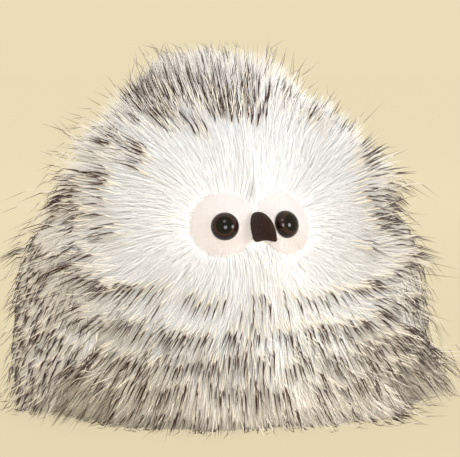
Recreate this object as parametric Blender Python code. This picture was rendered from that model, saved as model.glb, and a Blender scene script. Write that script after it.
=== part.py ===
"""Plush owl: long-pile fur panels over stuffing and a bag of pellets, with two soft wings.

The owl looks along -Y, its own left side is at +X, and it sits on the plane z = 0.
A fur panel's solid is its backing cloth with the body of its pile.
"""
import math

import bmesh
import bpy
from mathutils import Matrix, Vector

# Whole toy, over the fur
TOY_HEIGHT = 0.148
BODY_HALF_WIDTH = 0.078
BODY_REACH = 0.075
SOLE_THICKNESS = 0.004
NECK_HEIGHT = 0.062
CROWN_SEAM_HEIGHT = 0.112

# Clearances, the length that a cutter runs past what it cuts, and how near two cut corners are one
FIT_GAP = 0.0003
CUT_OVERRUN = 0.15
WELD_DISTANCE = 0.000002

# Head under the fur: its skin at the face lies a little behind the front of the chest
HEAD_RADIUS = 0.038
HEAD_CENTRE_HEIGHT = 0.072
FACE_SETBACK = 0.022
BACKING_THICKNESS = 0.003
FACE_TILT = math.radians(18)

# White face panel: its seam is an oval round the face's axis
FACE_HALF_WIDTH = 0.054
FACE_HALF_HEIGHT = 0.042
FACE_SEAM_SETBACK = 0.003

# Eye discs, laid on the head's skin
DISC_RADIUS = 0.013
DISC_THICKNESS = 0.0012
DISC_SPREAD = math.radians(21.5)
DISC_RISE = math.radians(2.4)
DISH_MARGIN = 0.001
DISH_SLOPE = math.radians(36)

# Safety eyes and their washers
EYE_SPREAD = math.radians(20)
EYE_RADIUS = 0.006
EYE_DOME_HEIGHT = 0.0045
SHANK_RADIUS = 0.002
SHANK_TIP_RADIUS = 0.0015
SHANK_LENGTH = 0.0092
SHANK_RIDGE = 0.0003
SHANK_RIDGE_COUNT = 3
WASHER_RADIUS = 0.008
WASHER_THICKNESS = 0.0012
WASHER_HUB_RADIUS = 0.0038
WASHER_HUB_LENGTH = 0.001

# Felt beak, folded flat-sided, with its tip bent a little to the owl's left
BEAK_REACH = 0.0125
BEAK_HEIGHT = 0.0126
BEAK_WIDTH = 0.0062
BEAK_DROP = 0.0008
BEAK_LEAN = 0.0026
BEAK_FELT = 0.001

# Body stuffing, and the bag of pellets that sits on the sole
CORE_HALF_WIDTH = 0.058
CORE_REACH = 0.057
CORE_CENTRE_HEIGHT = 0.022
CORE_HALF_HEIGHT = 0.050
BAG_HALF_WIDTH = 0.043
BAG_REACH = 0.041
BAG_HEIGHT = 0.023
BAG_CLOTH = 0.0008
BAG_NECK_RADIUS = 0.004

# Wings: laid on the flanks, and sewn on along their upper edge
WING_TOP_HEIGHT = 0.083
WING_LENGTH = 0.073
WING_WIDTH = 0.062
WING_THICKNESS = 0.0115
WING_TIP_FLARE = 0.004
WING_TURN = math.radians(-12)
LINING_THICKNESS = 0.002
# The lining has its full thickness where the wing has this share of its own
LINING_FULL_SHARE = 0.5
# A power under 1 makes a layer's edge squarer
LINING_EDGE_POWER = 0.45
FUR_EDGE_POWER = 1.0

# Hand-sewn closing seam at the back, on the inner side of the panels
SEAM_LOW = 0.018
SEAM_HIGH = 0.05
SEAM_GROOVE_DEPTH = 0.0016
SEAM_GROOVE_HALF_WIDTH = 0.0015
THREAD_RADIUS = 0.0004
THREAD_SWING = 0.0007
STITCH_COUNT = 12

# Seams between the body's panels, as angles from the owl's front
CHEST_SEAM = math.radians(52)
FLANK_SEAM = math.radians(122)

# Outer form over the fur: height, and half-widths to the side, front and back, floor to crown
HEIGHT_SHARES = (0.0, 0.06, 0.15, 0.30, 0.45, 0.60, 0.72, 0.82, 0.91, 0.97, 1.0)
SIDE_SHARES = (0.92, 0.985, 1.0, 1.0, 0.985, 0.93, 0.84, 0.70, 0.505, 0.30, 0.0)
FRONT_SHARES = (0.92, 0.985, 1.0, 0.96, 0.84, 0.72, 0.635, 0.52, 0.37, 0.21, 0.0)
BACK_SHARES = (0.92, 0.985, 1.0, 0.985, 0.945, 0.87, 0.78, 0.65, 0.47, 0.28, 0.0)

# Wing from its sewn edge to its tip: where along it, how wide, how thick, how far it flares
WING_ALONG_SHARES = (0.05, 0.14, 0.26, 0.42, 0.58, 0.72, 0.85, 0.95)
WING_WIDTH_SHARES = (0.34, 0.60, 0.82, 0.98, 1.0, 0.88, 0.62, 0.32)
WING_THICKNESS_SHARES = (0.22, 0.46, 0.74, 0.95, 1.0, 0.94, 0.74, 0.42)
WING_FLARE_SHARES = (0.0, 0.0, 0.0, 0.05, 0.2, 0.5, 0.8, 1.0)

# Beak from its root to its tip: how far out, its upper and lower edge, its width, its lean
BEAK_OUT_SHARES = (-0.35, 0.0, 0.25, 0.5, 0.72, 0.88, 1.0)
BEAK_TOP_SHARES = (0.5, 0.47, 0.38, 0.20, -0.06, -0.32, -0.56)
BEAK_BOTTOM_SHARES = (-0.5, -0.53, -0.57, -0.61, -0.66, -0.69, -0.70)
BEAK_WIDTH_SHARES = (1.0, 1.0, 0.97, 0.9, 0.76, 0.58, 0.34)
BEAK_LEAN_SHARES = (0.0, 0.0, 0.12, 0.34, 0.62, 0.84, 1.0)

# Facets
MOUND_SEGMENTS = 40
MOUND_STEPS = 20
BALL_SEGMENTS = 28
BALL_RINGS = 14
CORE_RINGS = 8
TURNED_SEGMENTS = 16
DISC_SEGMENTS = 24
DISC_RINGS = 4
DOME_STEPS = 5
BEAK_SEGMENTS = 14
WING_SEGMENTS = 20
THREAD_POINTS_PER_STITCH = 3

# Shading, and how finely the outer form is measured
SMOOTH_ANGLE = math.radians(40)
NORMAL_STEP = math.radians(1)
HEIGHT_SEARCH_STEPS = 40

LEFT = 1
RIGHT = -1
SIDE_NAMES = {LEFT: "left", RIGHT: "right"}

HEAD_FORWARD = BODY_REACH - HEAD_RADIUS - FACE_SETBACK
HEAD_CENTRE = Vector((0, -HEAD_FORWARD, HEAD_CENTRE_HEIGHT))
HEAD_CAVITY_RADIUS = HEAD_RADIUS - BACKING_THICKNESS
HEAD_STUFFING_RADIUS = HEAD_CAVITY_RADIUS - FIT_GAP
DISC_SEAT_RADIUS = HEAD_RADIUS + FIT_GAP
EYE_SEAT_RADIUS = DISC_SEAT_RADIUS + DISC_THICKNESS + FIT_GAP
# How near to its centre a ball's facets come, as a share of its radius
FACET_SHARE = math.cos(math.pi / BALL_SEGMENTS) * math.cos(math.pi / BALL_RINGS / 2)
FLOOR_OF_FILLING = SOLE_THICKNESS + FIT_GAP


def clear_scene():
    """Remove every object that the file opened with."""
    for old in list(bpy.data.objects):
        bpy.data.objects.remove(old, do_unlink=True)


def make_material(name, colour, roughness, metallic=0.0):
    """A Principled material with one colour."""
    made = bpy.data.materials.new(name)
    made.use_nodes = True
    shader = made.node_tree.nodes["Principled BSDF"]
    shader.inputs["Base Color"].default_value = (*colour, 1.0)
    shader.inputs["Roughness"].default_value = roughness
    shader.inputs["Metallic"].default_value = metallic
    made.diffuse_color = (*colour, 1.0)
    return made


def make_object(name, bm):
    """A named object from a bmesh, with its faces turned outward."""
    bmesh.ops.recalc_face_normals(bm, faces=bm.faces)
    mesh = bpy.data.meshes.new(name)
    bm.to_mesh(mesh)
    bm.free()
    made = bpy.data.objects.new(name, mesh)
    bpy.context.collection.objects.link(made)
    return made


def make_cutter(name, bm):
    """A helper that cuts others and isn't a piece of the toy."""
    cutter = make_object(name, bm)
    cutter.hide_render = True
    cutter.display_type = "WIRE"
    return cutter


def copy_of(source, name):
    """A separate object with its own copy of a mesh."""
    made = bpy.data.objects.new(name, source.data.copy())
    made.matrix_world = source.matrix_world.copy()
    bpy.context.collection.objects.link(made)
    return made


def combine(target, cutter, operation):
    """Apply one exact Boolean to the target."""
    modifier = target.modifiers.new(operation.lower(), "BOOLEAN")
    modifier.operation = operation
    modifier.solver = "EXACT"
    modifier.object = cutter
    bpy.context.view_layer.update()
    evaluated = target.evaluated_get(bpy.context.evaluated_depsgraph_get())
    result = bpy.data.meshes.new_from_object(evaluated)
    target.modifiers.clear()
    bm = bmesh.new()
    bm.from_mesh(result)
    bmesh.ops.remove_doubles(bm, verts=bm.verts, dist=WELD_DISTANCE)
    bmesh.ops.dissolve_degenerate(bm, edges=bm.edges, dist=WELD_DISTANCE)
    bm.to_mesh(result)
    bm.free()
    target.data = result
    return target


def cut(target, *cutters):
    """Take each cutter's space out of the target."""
    for cutter in cutters:
        combine(target, cutter, "DIFFERENCE")
    return target


def keep(target, cutter):
    """Keep only what lies inside the cutter."""
    return combine(target, cutter, "INTERSECT")


def mirrored(source, name):
    """The right-hand twin of a left-hand piece whose origin is the toy's."""
    twin = copy_of(source, name)
    twin.data.transform(Matrix.Scale(-1, 4, Vector((1, 0, 0))))
    twin.data.flip_normals()
    return twin


def finish(target, material):
    """Give a piece its one material, and shade it smooth between its real edges."""
    target.data.materials.clear()
    target.data.materials.append(material)
    for face in target.data.polygons:
        face.material_index = 0
    target.data.shade_smooth()
    target.data.set_sharp_from_angle(angle=SMOOTH_ANGLE)
    return target


def spline(shares, climb, over_crown):
    """Read a smooth curve through evenly numbered shares, which may run on down past the crown."""
    last = len(shares) - 1
    place = min(max(climb, 0.0), 1.0) * last
    index = min(int(place), last - 1)
    rest = place - index
    before = shares[index - 1] if index > 0 else 2 * shares[0] - shares[1]
    start = shares[index]
    end = shares[index + 1]
    if index + 2 <= last:
        after = shares[index + 2]
    else:
        after = -shares[last - 1] if over_crown else shares[last - 1]
    slope = end - before
    bend = 2 * before - 5 * start + 4 * end - after
    twist = -before + 3 * start - 3 * end + after
    return start + (slope * rest + bend * rest**2 + twist * rest**3) / 2


def mound_point(turn, climb):
    """A point of the outer form: turn goes round from the owl's left, climb from floor to crown."""
    forward = math.sin(turn) < 0
    reach = BODY_REACH * spline(FRONT_SHARES if forward else BACK_SHARES, climb, True)
    width = BODY_HALF_WIDTH * spline(SIDE_SHARES, climb, True)
    height = TOY_HEIGHT * spline(HEIGHT_SHARES, climb, False)
    return Vector((width * math.cos(turn), reach * math.sin(turn), height))


def mound_normal(turn, climb):
    """The outward direction of the outer form at a point."""
    rise_step = 1 / (len(HEIGHT_SHARES) * MOUND_STEPS)
    along = mound_point(turn + NORMAL_STEP, climb) - mound_point(turn - NORMAL_STEP, climb)
    up = mound_point(turn, climb + rise_step) - mound_point(turn, climb - rise_step)
    return along.cross(up).normalized()


def climb_at(height):
    """The climb at which the outer form reaches a height."""
    low, high = 0.0, 1.0
    for _ in range(HEIGHT_SEARCH_STEPS):
        middle = (low + high) / 2
        if TOY_HEIGHT * spline(HEIGHT_SHARES, middle, False) < height:
            low = middle
        else:
            high = middle
    return (low + high) / 2


def skin_rings(bm, rings):
    """Join rings of points into one closed skin; a ring of one point is a pole."""
    made = [[bm.verts.new(point) for point in ring] for ring in rings]
    for lower, upper in zip(made, made[1:]):
        count = max(len(lower), len(upper))
        for index in range(count):
            after = (index + 1) % count
            if len(lower) == 1:
                bm.faces.new((lower[0], upper[after], upper[index]))
            elif len(upper) == 1:
                bm.faces.new((lower[index], lower[after], upper[0]))
            else:
                bm.faces.new((lower[index], lower[after], upper[after], upper[index]))
    for ring in (made[0], made[-1]):
        if len(ring) > 1:
            bm.faces.new(ring)
    return bm


def even_angles(count):
    """Angles once round, evenly spaced."""
    return [math.tau * index / count for index in range(count)]


def mound(offset=0.0):
    """The outer form, moved out along its normals by an offset."""
    rings = []
    for step in range(MOUND_STEPS):
        climb = step / MOUND_STEPS
        ring = []
        for turn in even_angles(MOUND_SEGMENTS):
            point = mound_point(turn, climb)
            ring.append(point + mound_normal(turn, climb) * offset if offset else point)
        rings.append(ring)
    rings.append([mound_point(0, 1) + Vector((0, 0, offset))])
    return skin_rings(bmesh.new(), rings)


def ball(radius):
    """A ball on the head's centre."""
    bm = bmesh.new()
    bmesh.ops.create_uvsphere(
        bm, u_segments=BALL_SEGMENTS, v_segments=BALL_RINGS, radius=radius,
        matrix=Matrix.Translation(HEAD_CENTRE),
    )
    return bm


def dome(half_width, reach, centre_height, half_height, floor_height, skirt=0.0):
    """A round cushion with a flat underside at the floor height; a skirt runs straight down from it."""
    rings = []
    for rise in dome_rises(centre_height, half_height, floor_height)[:-1]:
        rings.append([
            Vector((
                half_width * math.cos(rise) * math.cos(turn),
                reach * math.cos(rise) * math.sin(turn),
                centre_height + half_height * math.sin(rise),
            ))
            for turn in even_angles(BALL_SEGMENTS)
        ])
    rings.append([Vector((0, 0, centre_height + half_height))])
    if skirt:
        rings.insert(0, [point - Vector((0, 0, skirt)) for point in rings[0]])
    return skin_rings(bmesh.new(), rings)


def dome_rises(centre_height, half_height, floor_height):
    """The angles above level of a cushion's rings, from its underside to its top."""
    start = math.asin((floor_height - centre_height) / half_height)
    return [start + (math.pi / 2 - start) * step / CORE_RINGS for step in range(CORE_RINGS + 1)]


def core_back(height, growth):
    """How far behind the axis the grown core's facets lie at a height."""
    half_height = CORE_HALF_HEIGHT + growth
    rises = dome_rises(CORE_CENTRE_HEIGHT, half_height, FLOOR_OF_FILLING)
    level = (height - CORE_CENTRE_HEIGHT) / half_height
    upper = next(index for index, rise in enumerate(rises) if math.sin(rise) >= level)
    below, above = rises[max(upper, 1) - 1], rises[max(upper, 1)]
    share = (level - math.sin(below)) / (math.sin(above) - math.sin(below))
    return (CORE_REACH + growth) * (math.cos(below) * (1 - share) + math.cos(above) * share)


def core_dome(growth, skirt=0.0):
    """The body stuffing's form, grown all over."""
    return dome(
        CORE_HALF_WIDTH + growth, CORE_REACH + growth, CORE_CENTRE_HEIGHT,
        CORE_HALF_HEIGHT + growth, FLOOR_OF_FILLING, skirt,
    )


def bag_dome(shrink):
    """The pellet bag's form, drawn in all over; its centre is on its own underside."""
    underside = FLOOR_OF_FILLING + FIT_GAP + shrink
    return dome(
        BAG_HALF_WIDTH - shrink, BAG_REACH - shrink, underside,
        BAG_HEIGHT - 2 * shrink, underside,
    )


def bag_space():
    """The room that the bag takes in the body stuffing, open through its underside."""
    return dome(
        BAG_HALF_WIDTH + FIT_GAP, BAG_REACH + FIT_GAP, FLOOR_OF_FILLING,
        BAG_HEIGHT + 2 * FIT_GAP, FLOOR_OF_FILLING, CUT_OVERRUN,
    )


def block(low, high):
    """A box between two corners."""
    bm = bmesh.new()
    size = Vector(high) - Vector(low)
    middle = (Vector(high) + Vector(low)) / 2
    matrix = Matrix.Translation(middle) @ Matrix.Diagonal((*size, 1))
    bmesh.ops.create_cube(bm, size=1, matrix=matrix)
    return bm


def slab(low_height, high_height):
    """A box that holds all of the toy between two heights."""
    return block(
        (-CUT_OVERRUN, -CUT_OVERRUN, low_height), (CUT_OVERRUN, CUT_OVERRUN, high_height)
    )


def wedge(start, end, low_height, high_height):
    """A wedge on the upright axis between two angles from the front, half a gap inside each."""
    middle = (start + end) / 2
    half = (end - start) / 2
    apex = seam_direction(middle) * (FIT_GAP / 2 / math.sin(half))
    outline = [apex]
    for angle in (start, middle, end):
        outline.append(apex + seam_direction(angle) * CUT_OVERRUN)
    rings = [
        [Vector((point.x, point.y, height)) for point in outline]
        for height in (low_height, high_height)
    ]
    return skin_rings(bmesh.new(), rings)


def seam_direction(angle):
    """Level direction at an angle from the owl's front, towards its left."""
    return Vector((math.sin(angle), -math.cos(angle), 0))


def face_direction(spread, rise):
    """Direction from the head's centre: spread to the owl's left and rise above the face's axis."""
    level = Vector((
        math.sin(spread) * math.cos(rise),
        -math.cos(spread) * math.cos(rise),
        math.sin(rise),
    ))
    return Matrix.Rotation(-FACE_TILT, 3, "X") @ level


def face_frame():
    """Place and turn of the face: X to the owl's left, -Y out of the face, Z up its height."""
    return Matrix.Translation(HEAD_CENTRE) @ Matrix.Rotation(-FACE_TILT, 4, "X")


def outward_frame(direction, distance):
    """Place and turn whose Z axis points out of the head along a direction."""
    turn = direction.to_track_quat("Z", "Y").to_matrix().to_4x4()
    return Matrix.Translation(HEAD_CENTRE + direction * distance) @ turn


def place(target, frame):
    """Put an object at a frame by its location and rotation."""
    target.location = frame.to_translation()
    target.rotation_mode = "QUATERNION"
    target.rotation_quaternion = frame.to_quaternion()
    return target


def turned(profile, segments=TURNED_SEGMENTS):
    """Turn an open profile of (radius, height), which starts and ends on the axis."""
    rings = []
    for radius, height in profile:
        if radius == 0:
            rings.append([Vector((0, 0, height))])
        else:
            rings.append([
                Vector((radius * math.cos(angle), radius * math.sin(angle), height))
                for angle in even_angles(segments)
            ])
    return skin_rings(bmesh.new(), rings)


def rod(radius, low, high):
    """A round bar along Z."""
    return turned([(0, low), (radius, low), (radius, high), (0, high)])


def face_tube(growth):
    """The oval column that bounds the face panel, from just behind the head's centre forward."""
    frame = face_frame()
    rings = []
    for out in (-FACE_SEAM_SETBACK - growth, CUT_OVERRUN):
        rings.append([
            frame @ Vector((
                (FACE_HALF_WIDTH + growth) * math.cos(angle),
                -out,
                (FACE_HALF_HEIGHT + growth) * math.sin(angle),
            ))
            for angle in even_angles(MOUND_SEGMENTS)
        ])
    return skin_rings(bmesh.new(), rings)


def dish_cone(side):
    """The space above one eye disc, where the pile is laid back from the disc's edge."""
    seat = HEAD_RADIUS * math.cos(math.asin(DISC_RADIUS / HEAD_RADIUS))
    root = DISC_RADIUS + DISH_MARGIN
    depth = TOY_HEIGHT - seat
    rim = root + depth * math.tan(DISH_SLOPE)
    bm = turned([(0, seat), (root, seat), (rim, seat + depth), (0, seat + depth)], DISC_SEGMENTS)
    frame = outward_frame(face_direction(side * DISC_SPREAD, DISC_RISE), 0)
    bmesh.ops.transform(bm, matrix=frame, verts=bm.verts)
    return bm


def beak_form(inset, growth=0.0):
    """The beak over its felt; an inset gives the space inside, a growth the space round it."""
    frame = face_frame()
    reach = BEAK_REACH - 2 * inset + growth
    least = BEAK_WIDTH_SHARES[-1]
    rings = []
    rows = zip(BEAK_OUT_SHARES, BEAK_TOP_SHARES, BEAK_BOTTOM_SHARES, BEAK_WIDTH_SHARES, BEAK_LEAN_SHARES)
    for out, top, bottom, wide, lean in rows:
        half_width = BEAK_WIDTH * wide / 2
        half_height = BEAK_HEIGHT * (top - bottom) / 2
        half_width = max(half_width - inset, half_width * least) + growth
        half_height = max(half_height - inset, half_height * least) + growth
        middle = Vector((
            BEAK_LEAN * lean,
            -EYE_SEAT_RADIUS - reach * out,
            BEAK_HEIGHT * (top + bottom) / 2 - BEAK_DROP,
        ))
        rings.append([
            frame @ (middle + Vector((half_width * math.cos(angle), 0, half_height * math.sin(angle))))
            for angle in even_angles(BEAK_SEGMENTS)
        ])
    return skin_rings(bmesh.new(), rings)


def wing_layer(inner, thickness, edge_power):
    """One layer of the left wing, bent round the flank, with its tip flared out from it."""
    half = WING_SEGMENTS // 2
    angles = [math.pi * step / half for step in range(half + 1)]
    rings = [[wing_point(0, 0, inner)]]
    rows = zip(WING_ALONG_SHARES, WING_WIDTH_SHARES, WING_THICKNESS_SHARES, WING_FLARE_SHARES)
    for along, wide, thick, flare in rows:
        reach = WING_WIDTH * wide / 2
        lift = inner + WING_TIP_FLARE * flare
        outer_side = []
        for angle in angles:
            depth = thickness(thick) * math.sin(angle) ** edge_power
            outer_side.append(wing_point(along, reach * math.cos(angle), lift + depth))
        inner_side = [wing_point(along, reach * math.cos(angle), lift) for angle in angles[-2:0:-1]]
        rings.append(outer_side + inner_side)
    rings.append([wing_point(1, 0, inner + WING_TIP_FLARE)])
    return skin_rings(bmesh.new(), rings)


def wing_point(along, across, out):
    """A point of the left wing: down its length, round the flank and out from it."""
    climb = climb_at(WING_TOP_HEIGHT - WING_LENGTH * along)
    turn = WING_TURN + across / BODY_REACH
    return mound_point(turn, climb) + mound_normal(turn, climb) * out


def wing_hinge():
    """The middle of the left wing's sewn edge, which it swings about."""
    return wing_point(0, 0, FIT_GAP + LINING_THICKNESS / 2)


def move_origin(target, point):
    """Put an object's origin at a point and leave its shape where it is."""
    target.data.transform(Matrix.Translation(-point))
    target.location = point
    return target


def build_shell():
    """The whole thickness of the fur skin, before it is parted into panels."""
    shell = make_cutter("skin_form", mound())
    core_space = make_cutter("core_space", core_dome(FIT_GAP, CUT_OVERRUN))
    head_space = make_cutter("head_space", ball(HEAD_CAVITY_RADIUS))
    return cut(shell, core_space, head_space)


def build_face_panel(shell, white_fur):
    """White panel with the pile laid back round the eye discs and the beak."""
    panel = copy_of(shell, "face_panel")
    keep(panel, make_cutter("face_seam", face_tube(0)))
    dish = make_cutter("left_dish", dish_cone(LEFT))
    combine(dish, make_cutter("right_dish", dish_cone(RIGHT)), "UNION")
    cut(dish, make_cutter("dish_floor", ball(HEAD_RADIUS)))
    cut(panel, dish, eye_hole(LEFT), eye_hole(RIGHT))
    cut(panel, make_cutter("beak_space", beak_form(0, FIT_GAP)))
    finish(panel, white_fur)


def eye_hole(side):
    """The hole that an eye's shank goes through."""
    bm = rod(SHANK_RADIUS + SHANK_RIDGE + FIT_GAP, HEAD_RADIUS - HEAD_CAVITY_RADIUS, TOY_HEIGHT)
    frame = outward_frame(face_direction(side * EYE_SPREAD, 0), 0)
    bmesh.ops.transform(bm, matrix=frame, verts=bm.verts)
    return make_cutter(SIDE_NAMES[side] + "_eye_hole", bm)


def build_head_panels(shell, face_space, barred_fur, crest_fur):
    """Crown and the two head sides, parted by a level seam and a seam down the middle."""
    crown = copy_of(shell, "crown_panel")
    keep(crown, make_cutter("crown_region", slab(CROWN_SEAM_HEIGHT + FIT_GAP / 2, CUT_OVERRUN)))
    finish(cut(crown, face_space), crest_fur)
    low = NECK_HEIGHT + FIT_GAP / 2
    high = CROWN_SEAM_HEIGHT - FIT_GAP / 2
    half = block((FIT_GAP / 2, -CUT_OVERRUN, low), (CUT_OVERRUN, CUT_OVERRUN, high))
    left = keep(copy_of(shell, "left_head_side"), make_cutter("head_side_region", half))
    finish(cut(left, face_space), barred_fur)
    mirrored(left, "right_head_side")


def build_body_panels(shell, face_space, barred_fur):
    """Chest, flanks and back panels, each a sector of the skin below the neck."""
    groove = seam_groove()
    sectors = {
        "chest_panel": (-CHEST_SEAM, CHEST_SEAM),
        "left_flank_panel": (CHEST_SEAM, FLANK_SEAM),
        "left_back_panel": (FLANK_SEAM, math.pi),
    }
    for name, (start, end) in sectors.items():
        region = wedge(start, end, FLOOR_OF_FILLING, NECK_HEIGHT - FIT_GAP / 2)
        panel = keep(copy_of(shell, name), make_cutter(name + "_region", region))
        cut(panel, face_space)
        if name == "left_back_panel":
            cut(panel, groove)
        finish(panel, barred_fur)
        if start > 0:
            mirrored(panel, name.replace("left", "right"))


def seam_groove():
    """The space on the inner side of the back panels where the closing thread lies."""
    groove = make_cutter("seam_groove", core_dome(FIT_GAP + SEAM_GROOVE_DEPTH))
    margin = THREAD_RADIUS * 2 + FIT_GAP
    band = block(
        (-SEAM_GROOVE_HALF_WIDTH, 0, SEAM_LOW - margin),
        (SEAM_GROOVE_HALF_WIDTH, CUT_OVERRUN, SEAM_HIGH + margin),
    )
    return keep(groove, make_cutter("seam_band", band))


def build_closing_thread(thread_material):
    """One thread that crosses from edge to edge up the closing seam."""
    curve = bpy.data.curves.new("closing_seam_thread", "CURVE")
    curve.dimensions = "3D"
    curve.bevel_depth = THREAD_RADIUS
    curve.bevel_resolution = 1
    curve.use_fill_caps = True
    count = STITCH_COUNT * THREAD_POINTS_PER_STITCH + 1
    path = curve.splines.new("POLY")
    path.points.add(count - 1)
    depth = FIT_GAP + SEAM_GROOVE_DEPTH / 2
    for index in range(count):
        share = index / (count - 1)
        height = SEAM_LOW + (SEAM_HIGH - SEAM_LOW) * share
        swing = THREAD_SWING * math.sin(math.pi * STITCH_COUNT * share)
        path.points[index].co = (swing, core_back(height, depth), height, 1)
    thread = bpy.data.objects.new("closing_seam_thread", curve)
    bpy.context.collection.objects.link(thread)
    curve.materials.append(thread_material)


def build_sole(sole_cloth):
    """The flat base that the owl sits on."""
    sole = make_object("sole_panel", mound())
    keep(sole, make_cutter("sole_region", slab(-CUT_OVERRUN, SOLE_THICKNESS)))
    finish(sole, sole_cloth)


def build_filling(filling, bag_cloth, pellet_plastic):
    """Head stuffing, body stuffing, and the bag with its pellets."""
    head = make_object("head_stuffing", ball(HEAD_STUFFING_RADIUS))
    finish(cut(head, washer_pocket(LEFT), washer_pocket(RIGHT)), filling)
    body = make_object("body_stuffing", core_dome(0))
    head_seat = make_cutter("head_seat", ball(HEAD_CAVITY_RADIUS))
    finish(cut(body, head_seat, make_cutter("bag_space", bag_space())), filling)
    bag = make_object("pellet_bag", bag_dome(0))
    inside = make_cutter("bag_inside", bag_dome(BAG_CLOTH))
    neck = make_cutter("bag_neck", rod(BAG_NECK_RADIUS, BAG_HEIGHT / 2, CUT_OVERRUN))
    finish(cut(bag, inside, neck), bag_cloth)
    finish(make_object("pellets", bag_dome(BAG_CLOTH + FIT_GAP)), pellet_plastic)


def washer_seat():
    """How far from the head's centre a washer's outer face lies, so that its rim clears the skin."""
    clear_radius = HEAD_STUFFING_RADIUS * FACET_SHARE
    return math.sqrt(clear_radius**2 - (WASHER_RADIUS + FIT_GAP) ** 2)


def washer_pocket(side):
    """The hollow in the head stuffing that holds a washer and the end of its shank."""
    reach = WASHER_RADIUS + FIT_GAP
    floor = washer_seat() - WASHER_THICKNESS - FIT_GAP
    hub = WASHER_HUB_RADIUS + FIT_GAP
    hub_floor = min(floor - WASHER_HUB_LENGTH, EYE_SEAT_RADIUS - SHANK_LENGTH - FIT_GAP)
    top = HEAD_RADIUS + EYE_DOME_HEIGHT
    bm = turned([(0, hub_floor), (hub, hub_floor), (hub, floor), (reach, floor), (reach, top), (0, top)])
    frame = outward_frame(face_direction(side * EYE_SPREAD, 0), 0)
    bmesh.ops.transform(bm, matrix=frame, verts=bm.verts)
    return make_cutter(SIDE_NAMES[side] + "_washer_pocket", bm)


def build_eye(side, head_frame, eye_plastic, washer_plastic, disc_cloth):
    """One safety eye, the washer behind it and the disc under it."""
    direction = face_direction(side * EYE_SPREAD, 0)
    profile = [(0, EYE_DOME_HEIGHT)]
    for step in range(1, DOME_STEPS + 1):
        angle = math.pi / 2 * (1 - step / DOME_STEPS)
        profile.append((EYE_RADIUS * math.cos(angle), EYE_DOME_HEIGHT * math.sin(angle)))
    profile.append((SHANK_RADIUS, 0))
    pitch = SHANK_LENGTH / (2 * SHANK_RIDGE_COUNT + 1)
    for ridge in range(SHANK_RIDGE_COUNT):
        start = -pitch * (2 * ridge + 1)
        profile.append((SHANK_RADIUS, start))
        profile.append((SHANK_RADIUS + SHANK_RIDGE, start - pitch / 2))
        profile.append((SHANK_RADIUS, start - pitch))
    profile.append((SHANK_TIP_RADIUS, -SHANK_LENGTH))
    profile.append((0, -SHANK_LENGTH))
    eye = finish(make_object(SIDE_NAMES[side] + "_eye", turned(profile)), eye_plastic)
    place(eye, outward_frame(direction, EYE_SEAT_RADIUS))
    washer = build_washer(side, direction, washer_plastic)
    disc = build_disc(side, disc_cloth)
    for piece in (eye, washer, disc):
        hang_from(piece, head_frame)


def build_washer(side, direction, washer_plastic):
    """A round washer with a hub, pushed on the shank."""
    bore = SHANK_RADIUS + SHANK_RIDGE + FIT_GAP
    outline = [
        (bore, 0), (WASHER_RADIUS, 0), (WASHER_RADIUS, -WASHER_THICKNESS),
        (WASHER_HUB_RADIUS, -WASHER_THICKNESS),
        (WASHER_HUB_RADIUS, -WASHER_THICKNESS - WASHER_HUB_LENGTH),
        (bore, -WASHER_THICKNESS - WASHER_HUB_LENGTH),
    ]
    bm = bmesh.new()
    rings = [
        [
            bm.verts.new((radius * math.cos(angle), radius * math.sin(angle), height))
            for angle in even_angles(TURNED_SEGMENTS)
        ]
        for radius, height in outline
    ]
    for index, lower in enumerate(rings):
        upper = rings[(index + 1) % len(rings)]
        for spot in range(TURNED_SEGMENTS):
            after = (spot + 1) % TURNED_SEGMENTS
            bm.faces.new((lower[spot], lower[after], upper[after], upper[spot]))
    washer = finish(make_object(SIDE_NAMES[side] + "_eye_washer", bm), washer_plastic)
    return place(washer, outward_frame(direction, washer_seat()))


def build_disc(side, disc_cloth):
    """A short-nap disc that follows the head, with a hole for the eye's shank."""
    frame = outward_frame(face_direction(side * DISC_SPREAD, DISC_RISE), 0)
    edge = math.asin(DISC_RADIUS / DISC_SEAT_RADIUS)
    profile = []
    for step in range(DISC_RINGS + 1):
        angle = edge * step / DISC_RINGS
        radius = DISC_SEAT_RADIUS + DISC_THICKNESS
        profile.append((radius * math.sin(angle), radius * math.cos(angle)))
    for step in range(DISC_RINGS, -1, -1):
        angle = edge * step / DISC_RINGS
        profile.append((DISC_SEAT_RADIUS * math.sin(angle), DISC_SEAT_RADIUS * math.cos(angle)))
    disc = make_object(SIDE_NAMES[side] + "_eye_disc", turned(profile, DISC_SEGMENTS))
    place(disc, frame)
    cut(disc, eye_hole(side))
    return finish(disc, disc_cloth)


def hang_from(piece, frame):
    """Parent a piece to a frame and leave it where it is."""
    bpy.context.view_layer.update()
    world = piece.matrix_world.copy()
    piece.parent = frame
    piece.matrix_parent_inverse = frame.matrix_world.inverted()
    piece.matrix_world = world


def build_beak(head_frame, felt, filling):
    """Felt beak with an open root, and its stuffing."""
    seat = make_cutter("beak_seat", ball(EYE_SEAT_RADIUS / FACET_SHARE))
    cover = make_object("beak_cover", beak_form(0))
    cut(cover, make_cutter("beak_inside", beak_form(BEAK_FELT)), seat)
    stuffing = make_object("beak_stuffing", beak_form(BEAK_FELT, -FIT_GAP))
    cut(stuffing, seat)
    hang_from(finish(cover, felt), head_frame)
    hang_from(finish(stuffing, filling), head_frame)


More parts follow.
